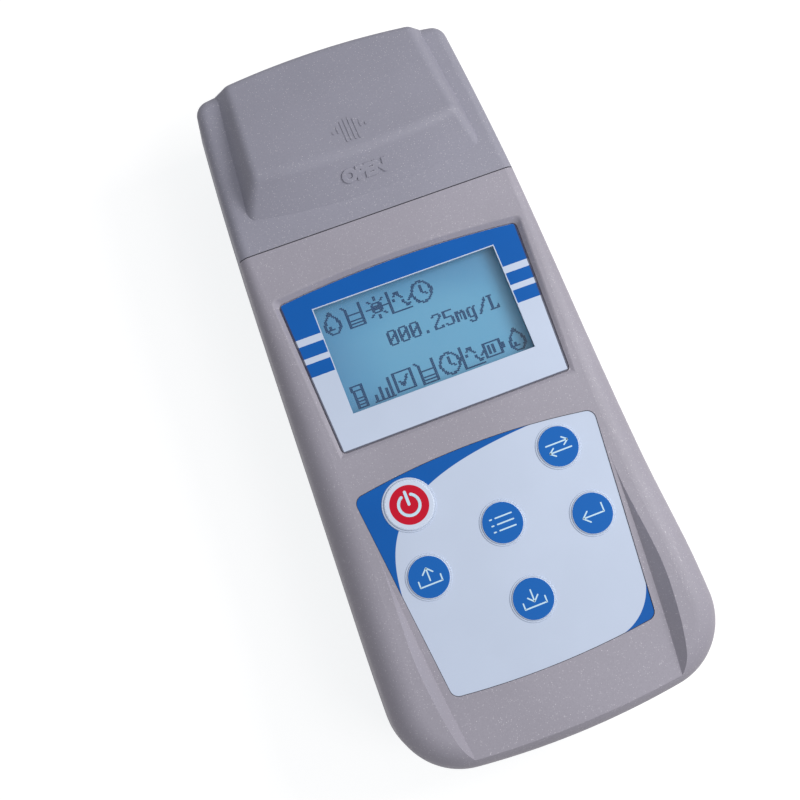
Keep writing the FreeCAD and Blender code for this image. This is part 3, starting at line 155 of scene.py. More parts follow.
class Shader:
    """One material and the nodes in it."""

    def __init__(self, name: str) -> None:
        """Starts a material with only a Principled shader in it."""
        self.material = bpy.data.materials.new(name)
        self.material.use_nodes = True
        self.tree = self.material.node_tree
        self.tree.nodes.clear()
        output = self.tree.nodes.new("ShaderNodeOutputMaterial")
        self.surface = self.tree.nodes.new("ShaderNodeBsdfPrincipled")
        self.tree.links.new(self.surface.outputs[0], output.inputs[0])

    @classmethod
    def over(cls, tree: bpy.types.NodeTree) -> "Shader":
        """Starts on a world's tree, with no surface of its own."""
        made = cls.__new__(cls)
        made.tree = tree
        made.tree.nodes.clear()
        return made

    def node(self, kind: str, settings: Dict[str, Any], inputs: Dict[Any, Any],
             out: Union[int, str] = 0) -> Sock:
        """Adds a node of any type.

        Args:
            kind: The node's type.
            settings: Values of the node's own properties, set first.
            inputs: Values or links by input name or number.
            out: Which output to give back.

        Returns:
            The chosen output.
        """
        made = self.tree.nodes.new(kind)
        for key, value in settings.items():
            setattr(made, key, value)
        for key, value in inputs.items():
            self.feed(made.inputs[key], value)
        return Sock(self, made.outputs[out]) if made.outputs else Sock(self, None)

    def feed(self, socket: Any, value: Any) -> None:
        """Links a shader value to a socket or sets a plain one."""
        if isinstance(value, Sock):
            self.tree.links.new(value.socket, socket)
        elif isinstance(value, tuple) and len(value) == 3 and socket.type == "RGBA":
            socket.default_value = (*value, 1.0)
        else:
            socket.default_value = value

    def set(self, **values: Any) -> None:
        """Sets inputs of the Principled shader, with underscores for spaces."""
        for key, value in values.items():
            self.feed(self.surface.inputs[key.replace("_", " ")], value)

    def place(self, centre: Tuple[float, float, float] = (0.0, 0.0, 0.0)) -> Sock:
        """Object coordinates in metres, measured from a centre."""
        raw = self.node("ShaderNodeTexCoord", {}, {}, "Object")
        if centre == (0.0, 0.0, 0.0):
            return raw
        return self.node("ShaderNodeVectorMath", {"operation": "SUBTRACT"}, {0: raw, 1: centre})

    def axes(self, centre: Tuple[float, float, float]) -> Tuple[Sock, Sock, Sock]:
        """The three object coordinates in millimetres, measured from a centre in metres."""
        raw = self.place(centre)
        made = [self.node("ShaderNodeSeparateXYZ", {}, {0: raw}, axis) for axis in range(3)]
        return made[0] * PER_METRE, made[1] * PER_METRE, made[2] * PER_METRE

    def mix(self, share: Union[Sock, float], first: Any, second: Any) -> Sock:
        """A blend of two colours."""
        settings = {"data_type": "RGBA", "clamp_factor": True}
        return self.node("ShaderNodeMix", settings, {0: share, 6: first, 7: second}, 2)

    def noise(self, scale: float, detail: float) -> Sock:
        """Cloudy noise over the object."""
        inputs = {"Vector": self.place(), "Scale": scale, "Detail": detail}
        return self.node("ShaderNodeTexNoise", {}, inputs)

    def bump(self, height: Sock, depth: float, strength: float) -> None:
        """Feeds the surface's normal from a height."""
        inputs = {"Strength": strength, "Distance": depth, "Height": height}
        self.set(Normal=self.node("ShaderNodeBump", {}, inputs))


@dataclass(frozen=True)
class CasePlastic:
    """Moulded plastic with a fine spark texture and metal flakes in it."""

    name: str
    colour: Colour
    flake: Colour = srgb(226, 222, 228)
    flake_pitch: float = 0.28
    flake_share: float = 0.15
    flake_turn: Tuple[float, float, float] = (0.61, 0.47, 0.83)
    flake_rim: Point = (0.42, 0.20)
    grain_pitch: float = 0.22
    tones: Point = (0.95, 1.04)
    worn_tone: float = 0.72
    worn_share: float = 0.20
    relief: float = 0.016

    def make(self) -> bpy.types.Material:
        """Returns the material."""
        shader = Shader(self.name)
        cloud = shader.noise(26.0, 3.0)
        dull, clear = (toned(self.colour, tone) for tone in self.tones)
        tint = shader.mix(cloud.step(*CLOUD_RANGE), dull, clear)
        scale = 1.0 / (self.flake_pitch * MM)
        turned = {"Vector": shader.place(), "Rotation": self.flake_turn}
        cell = {"Vector": shader.node("ShaderNodeMapping", {}, turned), "Scale": scale}
        near = shader.node("ShaderNodeTexVoronoi", {"feature": "F1"}, cell, "Distance")
        pick = shader.node("ShaderNodeTexVoronoi", {"feature": "F1"}, cell, "Color")
        chance = shader.node("ShaderNodeSeparateColor", {}, {0: pick}, 0)
        glint = shader.node("ShaderNodeSeparateColor", {}, {0: pick}, 1)
        chosen = chance.step(1.0 - self.flake_share, 1.0 - 0.6 * self.flake_share)
        flake = chosen * near.step(*self.flake_rim) * (glint * 0.8 + 0.2)
        grain = shader.noise(1.0 / (self.grain_pitch * MM), 2.0)
        speck = shader.noise(0.5 / (self.grain_pitch * MM), 2.0)
        wear = speck.step(0.35, 0.75) * self.worn_share
        worn = shader.mix(wear, tint, toned(self.colour, self.worn_tone))
        shader.set(
            Base_Color=shader.mix(flake * 0.8, worn, self.flake),
            Roughness=0.50 + 0.08 * grain - 0.22 * flake,
            Metallic=flake * 0.5,
            Specular_IOR_Level=0.42,
        )
        shader.bump(grain + flake * 0.5, self.relief * MM, 0.7)
        return shader.material


@dataclass(frozen=True)
class Print:
    """The inks of a printed film, and the painted shade of the gap round it."""

    white: Colour = srgb(197, 208, 229)
    blue: Colour = srgb(16, 92, 174)
    # painted shade of the gap round the label's edge
    gap_shade: Colour = srgb(64, 60, 76)
    haze_tones: Point = (0.97, 0.94)
    edge: float = 0.06
    roughness: float = 0.30
    relief: float = 0.004

    def film(self, shader: Shader, ink: Sock, rim: Union[Sock, float] = 0.0) -> bpy.types.Material:
        """Finishes a film.

        Args:
            shader: The material being made.
            ink: 1 where the blue ink lies.
            rim: How much of the painted shade of the gap round the film shows.

        Returns:
            The material.
        """
        haze = shader.noise(60.0, 2.0).step(*CLOUD_RANGE)
        paper = shader.mix(haze, toned(self.white, self.haze_tones[0]), self.white)
        ink_colour = shader.mix(haze, toned(self.blue, self.haze_tones[1]), self.blue)
        texture = shader.noise(5200.0, 1.0)
        printed = shader.mix(ink, paper, ink_colour)
        shader.set(
            # the rim mixes in painted shade of the gap round the film
            Base_Color=shader.mix(rim, printed, self.gap_shade),
            Roughness=self.roughness + 0.06 * texture,
            Specular_IOR_Level=0.14,
        )
        shader.bump(texture, self.relief * MM, 0.5)
        return shader.material


@dataclass(frozen=True)
class DisplayPrint(Print):
    """The label round the display: blue above, with two pale stripes, and pale below.

    Its rim is pale round the window; along the foot and the sides it is darkened with painted shade
    of the gap round the label. Heights are measured from the middle of the window, in millimetres.
    """

    blue_foot: float = -2.4
    stripes: Tuple[Tuple[float, float], ...] = ((6.9, 9.0), (1.5, 3.2))
    window_half: Point = (27.5, 15.9)
    pale_rim: float = 0.28
    foot: float = -25.5
    foot_half: float = 34.1
    side_slope: float = 0.044
    # width and strength of the painted gap shade along the foot and the sides
    gap_shade_width: float = 0.42
    gap_shade_share: float = 0.85

    def make(self) -> bpy.types.Material:
        """Returns the material."""
        shader = Shader("display_label_print")
        across, up, _ = shader.axes((0.0, WINDOW_Y * MM, 0.0))
        half = self.edge / 2
        ink = up.step(self.blue_foot - half, self.blue_foot + half)
        for low, high in self.stripes:
            band = up.step(low - half, low + half) * up.step(high + half, high - half)
            ink = ink * (1.0 - band)
        past = (abs(across) - self.window_half[0]).high(abs(up) - self.window_half[1])
        ink = ink * past.step(self.pale_rim - half, self.pale_rim + half)
        # painted shade in a band along the label's foot and sides, where the gap round it lies
        above = up - self.foot
        inside = above.low(above * self.side_slope + self.foot_half - abs(across))
        rim = inside.step(self.gap_shade_width + half, self.gap_shade_width - half) * self.gap_shade_share
        return self.film(shader, ink, rim)


@dataclass(frozen=True)
class PadPrint(Print):
    """The keypad overlay: a pale field that leaves two blue corners.

    Places are measured from the middle of the window, in millimetres.
    """

    field_centre: Point = (59.2, -84.9)
    field_half: Point = (92.6, 49.3)
    field_power: float = 4.0
    field_foot: float = -75.3
    corner_centre: Point = (16.4, -83.9)
    corner_radius: float = 15.1

    def make(self) -> bpy.types.Material:
        """Returns the material."""
        shader = Shader("keypad_print")
        across, up, _ = shader.axes((0.0, WINDOW_Y * MM, 0.0))
        dx = abs(across - self.field_centre[0]) / self.field_half[0]
        dy = abs(up - self.field_centre[1]) / self.field_half[1]
        reach = (dx ** self.field_power + dy ** self.field_power) ** (1 / self.field_power)
        half = self.edge / 2 / self.field_half[1]
        upper = reach.step(1.0 - half, 1.0 + half) * up.step(self.field_foot, self.field_foot + self.edge)
        cx = across - self.corner_centre[0]
        cy = self.corner_centre[1] - up
        radius = (cx * cx + cy * cy) ** 0.5
        lower = radius.step(self.corner_radius - self.edge / 2, self.corner_radius + self.edge / 2)
        lower = lower * cx.step(0.0, self.edge) * cy.step(0.0, self.edge)
        return self.film(shader, upper.high(lower))


@dataclass(frozen=True)
class KeyPrint:
    """A key's cap: a coloured disc in a pale ring."""

    name: str
    disc: Colour
    disc_radius: float
    ring: Colour = srgb(206, 216, 235)
    edge: float = 0.04
    relief: float = 0.004

    def make(self, centre: Vector) -> bpy.types.Material:
        """Builds the finish for a key at a place.

        Args:
            centre: The middle of the cap, in metres.

        Returns:
            The material.
        """
        shader = Shader(self.name)
        across, up, _ = shader.axes((centre.x, centre.y, 0.0))
        radius = (across * across + up * up) ** 0.5
        texture = shader.noise(3800.0, 1.0)
        outside = radius.step(self.disc_radius - self.edge, self.disc_radius + self.edge)
        shader.set(
            Base_Color=shader.mix(outside, self.disc, self.ring),
            Roughness=0.27 + 0.06 * texture,
            Specular_IOR_Level=0.16,
        )
        shader.bump(texture, self.relief * MM, 0.5)
        return shader.material


@dataclass(frozen=True)
class Plain:
    """A finish with one colour, a cloud of tint and a grain."""

    name: str
    colour: Colour
    roughness: float = 0.5
    metallic: float = 0.0
    grain: float = 900.0
    depth: float = 0.01
    tint: float = 0.12
    coat: float = 0.0
    specular: float = 0.5

    def make(self) -> bpy.types.Material:
        """Returns the material."""
        shader = Shader(self.name)
        cloud = shader.noise(self.grain / 12, 2.0).step(*CLOUD_RANGE)
        grain = shader.noise(self.grain, 3.0)
        shader.set(
            Base_Color=shader.mix(cloud, toned(self.colour, 1.0 - self.tint), self.colour),
            Roughness=self.roughness + 0.14 * (grain - 0.5),
            Metallic=self.metallic,
            Coat_Weight=self.coat,
            Specular_IOR_Level=self.specular,
        )
        shader.bump(grain, self.depth * MM, 0.6)
        return shader.material


@dataclass(frozen=True)
class ClearPane:
    """Clear sheet that lets most light straight through."""

    name: str
    colour: Colour = (0.55, 0.70, 0.78)
    alpha: float = 0.03
    roughness: float = 0.10

    def make(self) -> bpy.types.Material:
        """Returns the material."""
        shader = Shader(self.name)
        smear = shader.noise(90.0, 3.0)
        shader.set(
            Base_Color=self.colour,
            Alpha=self.alpha + 0.03 * smear,
            Roughness=self.roughness + 0.08 * smear,
            Specular_IOR_Level=0.35,
        )
        return shader.material


@dataclass(frozen=True)
class DisplayGlass:
    """The lit display: teal blue, paler in the middle; its darker rim is partly painted shade of the
    window's edge and partly the backlight's falloff.
    """

    half: Point = (27.5, 15.9)
    spot: Point = (4.0, -3.0)
    power: float = 3.0
    middle: Colour = srgb(95, 158, 194)
    # rim colour: partly painted shade of the window's edge, partly the backlight's falloff
    rim: Colour = srgb(76, 138, 180)

    def make(self) -> bpy.types.Material:
        """Returns the material."""
        shader = Shader("lit_display")
        across, up, _ = shader.axes((0.0, WINDOW_Y * MM, 0.0))
        dx = abs(across - self.spot[0]) / self.half[0]
        dy = abs(up - self.spot[1]) / self.half[1]
        reach = (dx ** self.power + dy ** self.power) ** (1 / self.power)
        cloud = shader.noise(45.0, 2.0)
        # paler round a spot right of and below the middle; darker towards the rim and the top with
        # painted shade of the window's edge
        backlight_and_shade = shader.mix((reach + 0.35 * (cloud - 0.5)).step(0.5, 1.25), self.middle, self.rim)
        shader.set(
            Base_Color=backlight_and_shade,
            Roughness=0.34,
            Emission_Color=backlight_and_shade,
            Emission_Strength=0.05,
            Specular_IOR_Level=0.3,
        )
        return shader.material


class Symbol(Enum):
    """What is printed on a key."""

    STANDBY = "standby"
    SWAP = "swap"
    MENU = "menu"
    RECALL = "recall"
    ENTER = "enter"
    SAVE = "save"


def arc_points(centre: Point, radius: float, start: float, end: float, steps: int) -> List[Point]:
    """Points along an arc.

    Args:
        centre: The arc's centre.
        radius: Its radius.
        start: First angle in degrees, from the right, anticlockwise.
        end: Last angle in degrees.
        steps: How many stretches it has.

    Returns:
        The points.
    """
    found = []
    for index in range(steps + 1):
        angle = math.radians(start + (end - start) * index / steps)
        found.append((centre[0] + radius * math.cos(angle), centre[1] + radius * math.sin(angle)))
    return found


SYMBOL_STROKES: Dict[Symbol, List[List[Point]]] = {
    Symbol.STANDBY: [arc_points((0, 0), 3.1, 118, 422, 40), [(0, 0.2), (0, 3.9)]],
    Symbol.SWAP: [
        [(-4.2, 1.3), (3.8, 1.3)], [(2.0, 2.7), (3.8, 1.3), (2.0, -0.1)],
        [(4.2, -1.5), (-3.8, -1.5)], [(-2.0, -0.1), (-3.8, -1.5), (-2.0, -2.9)],
    ],
    Symbol.MENU: [
        [(-3.9, 2.2), (-3.3, 2.2)], [(-1.9, 2.2), (3.9, 2.2)],
        [(-3.9, 0), (-3.3, 0)], [(-1.9, 0), (3.9, 0)],
        [(-3.9, -2.2), (-3.3, -2.2)], [(-1.9, -2.2), (3.9, -2.2)],
    ],
    Symbol.ENTER: [
        [(3.9, 2.3), (3.9, -0.7), (-3.6, -0.7)], [(-1.7, 1.2), (-3.8, -0.7), (-1.7, -2.6)],
    ],
    Symbol.RECALL: [
        [(-3.9, -0.4), (-3.9, -2.5), (3.9, -2.5), (3.9, -0.4)],
        [(0, -1.2), (0, 3.0)], [(-1.8, 1.3), (0, 3.1), (1.8, 1.3)],
    ],
    Symbol.SAVE: [
        [(-3.9, -0.4), (-3.9, -2.5), (3.9, -2.5), (3.9, -0.4)],
        [(0, 3.1), (0, -0.9)], [(-1.8, 0.8), (0, -1.0), (1.8, 0.8)],
    ],
}


class Builder:
    """Turns bmesh work into finished objects that ride on a body."""

    @staticmethod
    def finish(name: str, mesh: bmesh.types.BMesh, material: bpy.types.Material, body: str,
               slot: str, smooth: bool = True) -> None:
        """Closes a mesh, gives it its finish and hangs it on a body.

        Args:
            name: The piece's name.
            mesh: The geometry, in metres.
            material: Its finish.
            body: The body that it rides on.
            slot: Not used.
            smooth: Whether its faces shade smoothly up to the sharp angle.
        """
        bmesh.ops.recalc_face_normals(mesh, faces=mesh.faces)
        data = bpy.data.meshes.new(name)
        mesh.to_mesh(data)
        mesh.free()
        if smooth:
            data.shade_smooth()
            data.set_sharp_from_angle(angle=math.radians(SHARP_DEGREES))
        piece = bpy.data.objects.new(name, data)
        bpy.context.scene.collection.objects.link(piece)
        data.materials.append(material)
        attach(piece, body)
        LOG.info("piece %s rides on %s, %d faces", name, body, len(data.polygons))

    @staticmethod
    def bar(mesh: bmesh.types.BMesh, size: Vector, move: Matrix) -> None:
        """Adds a block of a size, placed by a matrix."""
        scale = Matrix.Diagonal((size.x, size.y, size.z, 1.0))
        bmesh.ops.create_cube(mesh, size=1.0, matrix=move @ scale)

    @staticmethod
    def disc(mesh: bmesh.types.BMesh, radius: float, height: float, move: Matrix) -> None:
        """Adds a round disc, placed by a matrix."""
        bmesh.ops.create_cone(
            mesh, cap_ends=True, segments=DISC_SIDES, radius1=radius, radius2=radius, depth=height,
            matrix=move,
        )

    @classmethod
    def stroke(cls, mesh: bmesh.types.BMesh, points: Sequence[Point], width: float, height: float,
               place: Matrix) -> None:
        """Adds a drawn line of even width with round joints.

        Args:
            mesh: The geometry to add to.
            points: The line's points in millimetres.
            width: The line's width in millimetres.
            height: Its thickness in millimetres.
            place: Where its flat frame lies.
        """
        for first, last in zip(points, points[1:]):
            start, end = Vector((*first, 0)) * MM, Vector((*last, 0)) * MM
            way = end - start
            turn = Matrix.Rotation(math.atan2(way.y, way.x), 4, "Z")
            move = place @ Matrix.Translation((start + end) / 2) @ turn
            cls.bar(mesh, Vector((way.length, width * MM, height * MM)), move)
        for point in points:
            move = place @ Matrix.Translation(Vector((*point, 0)) * MM)
            cls.disc(mesh, width / 2 * MM, height * MM * JOINT_SHARE, move)


def dress(node: str, material: bpy.types.Material) -> None:
    """Gives a CAD node its finish."""
    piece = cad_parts[node]
    if not piece.material_slots:
        piece.data.materials.append(material)
    for slot in piece.material_slots:
        slot.material = material


@dataclass
class Case:
    """The moulded shells, their screws and feet."""

    shell: CasePlastic = CasePlastic("case_plastic", srgb(154, 150, 162))
    head: CasePlastic = CasePlastic("cover_plastic", srgb(143, 142, 156))
    rubber: Plain = Plain("foot_rubber", srgb(34, 34, 36), 0.75, grain=1500.0, depth=0.03)
    zinc: Plain = Plain("zinc_screw", srgb(176, 176, 180), 0.34, 1.0, 2400.0, 0.006)

    def build(self) -> None:
        """Dresses the case's pieces."""
        plastic = self.shell.make()
        for node in ("upper_case", "lower_case", "battery_door"):
            dress(node, plastic)
        dress("sample_cover", self.head.make())
        dress("rubber_feet", self.rubber.make())
        steel = self.zinc.make()
        for node in ("case_screws", "deck_screws", "display_screws", "key_board_screws",
                     "main_board_screws", "optics_screws", "lcd_bezel", "photodiode"):
            dress(node, steel)


@dataclass
class Recesses:
    """Painted shade standing in for the cross recesses in the heads of the upright screws."""

    nodes: Tuple[str, ...] = (
        "case_screws", "deck_screws", "display_screws", "key_board_screws", "main_board_screws",
    )
    # dark finish for the painted shade of the cross recesses
    dark: Plain = Plain("recess_painted_shade", srgb(40, 40, 44), 0.7, grain=2000.0, depth=0.002)
    reach: float = 0.62
    width: float = 0.2
    thickness: float = 0.04
    level_gap: float = 1e-5

    @staticmethod
    def islands(node: str) -> List[List[Vector]]:
        """Splits a node's mesh into its separate solids.

        Args:
            node: The node's name.

        Returns:
            The corner places of each solid, in metres.
        """
        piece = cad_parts[node]
        mesh = bmesh.new()
        mesh.from_mesh(piece.data)
        bmesh.ops.remove_doubles(mesh, verts=mesh.verts, dist=WELD)
        mesh.verts.index_update()
        seen = set()
        found = []
        for first in mesh.verts:
            if first.index in seen:
                continue
            seen.add(first.index)
            stack = [first]
            group = []
            while stack:
                vertex = stack.pop()
                group.append(piece.matrix_world @ vertex.co)
                for edge in vertex.link_edges:
                    other = edge.other_vert(vertex)
                    if other.index not in seen:
                        seen.add(other.index)
                        stack.append(other)
            found.append(group)
        mesh.free()
        return found

    def head(self, corners: List[Vector]) -> Tuple[Matrix, float]:
        """Finds a screw's head.

        Args:
            corners: The corner places of an upright screw, in metres.

        Returns:
            A flat frame in the middle of the head's face, and the head's radius.
        """
        across = [corner.x for corner in corners]
        along = [corner.y for corner in corners]
        middle = Vector((min(across) + max(across), min(along) + max(along), 0.0)) / 2
        ends = (min(corner.z for corner in corners), max(corner.z for corner in corners))
        radii = []
        for level in ends:
            ring = [corner for corner in corners if abs(corner.z - level) < self.level_gap]
            radii.append(max(Vector((c.x - middle.x, c.y - middle.y)).length for c in ring))
        level = ends[0] if radii[0] > radii[1] else ends[1]
        return Matrix.Translation((middle.x, middle.y, level)), max(radii)

    def build(self) -> None:
        """Lays a thin dark cross on every head: painted shade where the recess would be."""
        ink = self.dark.make()
        for node in self.nodes:
            mesh = bmesh.new()
            for corners in self.islands(node):
                place, radius = self.head(corners)
                size = Vector((2 * self.reach * radius, 2 * self.width * radius, self.thickness * MM))
                for turn in (0.0, 90.0):
                    Builder.bar(mesh, size, place @ Matrix.Rotation(math.radians(turn), 4, "Z"))
            Builder.finish(node + "_recess", mesh, ink, "case", "steel", smooth=False)


@dataclass
class Labels:
    """The two printed films and the clear window."""

    display: DisplayPrint = DisplayPrint()
    pad: PadPrint = PadPrint()
    pane: ClearPane = ClearPane("clear_window")

    def build(self) -> None:
        """Dresses the films and the window."""
        dress("display_label", self.display.make())
        dress("keypad_overlay", self.pad.make())
        dress("display_window", self.pane.make())


@dataclass
class Keys:
    """The six keys and their printed symbols."""

    blue: Colour = srgb(22, 98, 180)
    red: Colour = srgb(196, 14, 44)
    legend: Colour = srgb(196, 226, 242)
    disc_radius: float = 5.72
    power_disc_radius: float = 5.5
    line: float = 0.40
    symbol_share: float = 0.82
    standby_share: float = 0.95
    standby_line: float = 0.85
    thickness: float = 0.06
    flange: float = 1.0
    rim_gap: float = 0.03
    rim_width: float = 0.55
    rim_height: float = 0.22
    rim_sink: float = 0.1
    rim_slope: float = 0.35
    rim_sides: int = 72
    symbols: Dict[str, Symbol] = field(default_factory=lambda: {
        "key_power": Symbol.STANDBY,
        "key_switch": Symbol.SWAP,
        "key_menu": Symbol.MENU,
        "key_recall": Symbol.RECALL,
        "key_enter": Symbol.ENTER,
        "key_save": Symbol.SAVE,
    })

    def build(self) -> None:
        """Dresses each key and prints its symbol."""
        ink = Plain("key_legend_ink", self.legend, 0.35, grain=2000.0, depth=0.001, tint=0.04).make()
        rim_film = Plain(
            "key_rim_film", Print.white, 0.30, grain=2000.0, depth=0.002, tint=0.03, specular=0.16,
        ).make()
        pad_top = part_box("keypad_overlay")[1].z
        for node, symbol in self.symbols.items():
            low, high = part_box(node)
            centre = (low + high) / 2
            power = symbol is Symbol.STANDBY
            colour = self.red if power else self.blue
            disc = self.power_disc_radius if power else self.disc_radius
            dress(node, KeyPrint(node + "_print", colour, disc).make(centre))
            mesh = bmesh.new()
            place = Matrix.Translation((centre.x, centre.y, high.z))
            line = self.standby_line if power else self.line
            share = self.standby_share if power else self.symbol_share
            for points in SYMBOL_STROKES[symbol]:
                points = [(share * x, share * y) for x, y in points]
                Builder.stroke(mesh, points, line, self.thickness, place)
            Builder.finish(node + "_symbol", mesh, ink, node, "printed_label", smooth=False)
            cap_radius = (high.x - low.x) / 2 / MM - self.flange
            self.rim(node, Vector((centre.x, centre.y, pad_top)), cap_radius, rim_film)

    def rim(self, node: str, centre: Vector, radius: float, film: bpy.types.Material) -> None:
        """Raises the film's embossed rim round a key.

        Args:
            node: The key's node.
            centre: The rim's centre on the film, in metres.
            radius: The key cap's radius, in millimetres.
            film: The film's finish.
        """
        start = radius + self.rim_gap
        slope = self.rim_slope * self.rim_width
        outline = (
            (start, -self.rim_sink),
            (start, self.rim_height),
            (start + self.rim_width - slope, self.rim_height),
            (start + self.rim_width, -self.rim_sink),
        )
        mesh = bmesh.new()
        rings = []
        for index in range(self.rim_sides):
            turn = Matrix.Rotation(2 * math.pi * index / self.rim_sides, 3, "Z")
            places = [centre + turn @ Vector((out, 0.0, up)) * MM for out, up in outline]
            rings.append([mesh.verts.new(place) for place in places])
        for index, ring in enumerate(rings):
            last = rings[index - 1]
            for at in range(len(outline)):
                mesh.faces.new((last[at - 1], last[at], ring[at], ring[at - 1]))
        Builder.finish(node + "_rim", mesh, film, "case", "printed_label")


class DotCanvas:
    """A small raster of display dots that icons are drawn on."""

    def __init__(self, columns: int, rows: int) -> None:
        """Starts with no dot set."""
        self.columns = columns
        self.rows = rows
        self.pen = 1
        self.dots: set = set()

    def put(self, column: float, row: float) -> None:
        """Sets dots as wide as the pen if they lie on the raster."""
        for along in range(self.pen):
            place = (round(column) + along, round(row))
            if 0 <= place[0] < self.columns and 0 <= place[1] < self.rows:
                self.dots.add(place)

    def line(self, *points: Point) -> None:
        """Sets dots along straight lines through points."""
        for (x0, y0), (x1, y1) in zip(points, points[1:]):
            steps = max(1, round(max(abs(x1 - x0), abs(y1 - y0))))
            for index in range(steps + 1):
                share = index / steps
                self.put(x0 + (x1 - x0) * share, y0 + (y1 - y0) * share)

    def ring(self, x: float, y: float, radius: float, start: float = 0.0, end: float = 360.0) -> None:
        """Sets dots along an arc, clockwise from the right."""
        steps = max(8, round(radius * 9))
        for index in range(steps + 1):
            angle = math.radians(start + (end - start) * index / steps)
            self.put(x + radius * math.cos(angle), y + radius * math.sin(angle))

    def stamp(self, rows: Sequence[str], column: int, row: int) -> None:
        """Copies a glyph whose set dots are written as #."""
        for down, text in enumerate(rows):
            for along, mark in enumerate(text):
                if mark == "#":
                    self.put(column + along, row + down)


DIGITS: Dict[str, Tuple[str, ...]] = {
    "0": (".#####.", "##...##", "##...##", "##..###", "##.####", "####.##", "###..##", "##...##",
          "##...##", ".#####."),
    "2": (".#####.", "##...##", ".....##", "....##.", "...##..", "..##...", ".##....", "##.....",
          "##...##", "#######"),
    "5": ("#######", "##.....", "##.....", "##.....", "######.", ".....##", ".....##", ".....##",
          "##...##", ".#####."),
    ".": (".......",) * 8 + ("..##...", "..##..."),
    "m": (".......",) * 3 + ("###.##.", "#######", "##.#.##", "##.#.##", "##.#.##", "##.#.##", "##...##"),
    "g": (".......",) * 3 + (".###.##", "##..##.", "##..##.", "##..##.", "##..##.", "##..##.", ".#####.",
                             "....##.", "##..##.", ".####.."),
    "/": ("......#", ".....##", ".....##", "....##.", "...##..", "...##..", "..##...", ".##....",
          ".##....", "##....."),
    "L": ("####...",) + (".##....",) * 6 + (".##...#", ".##..##", "#######"),
}


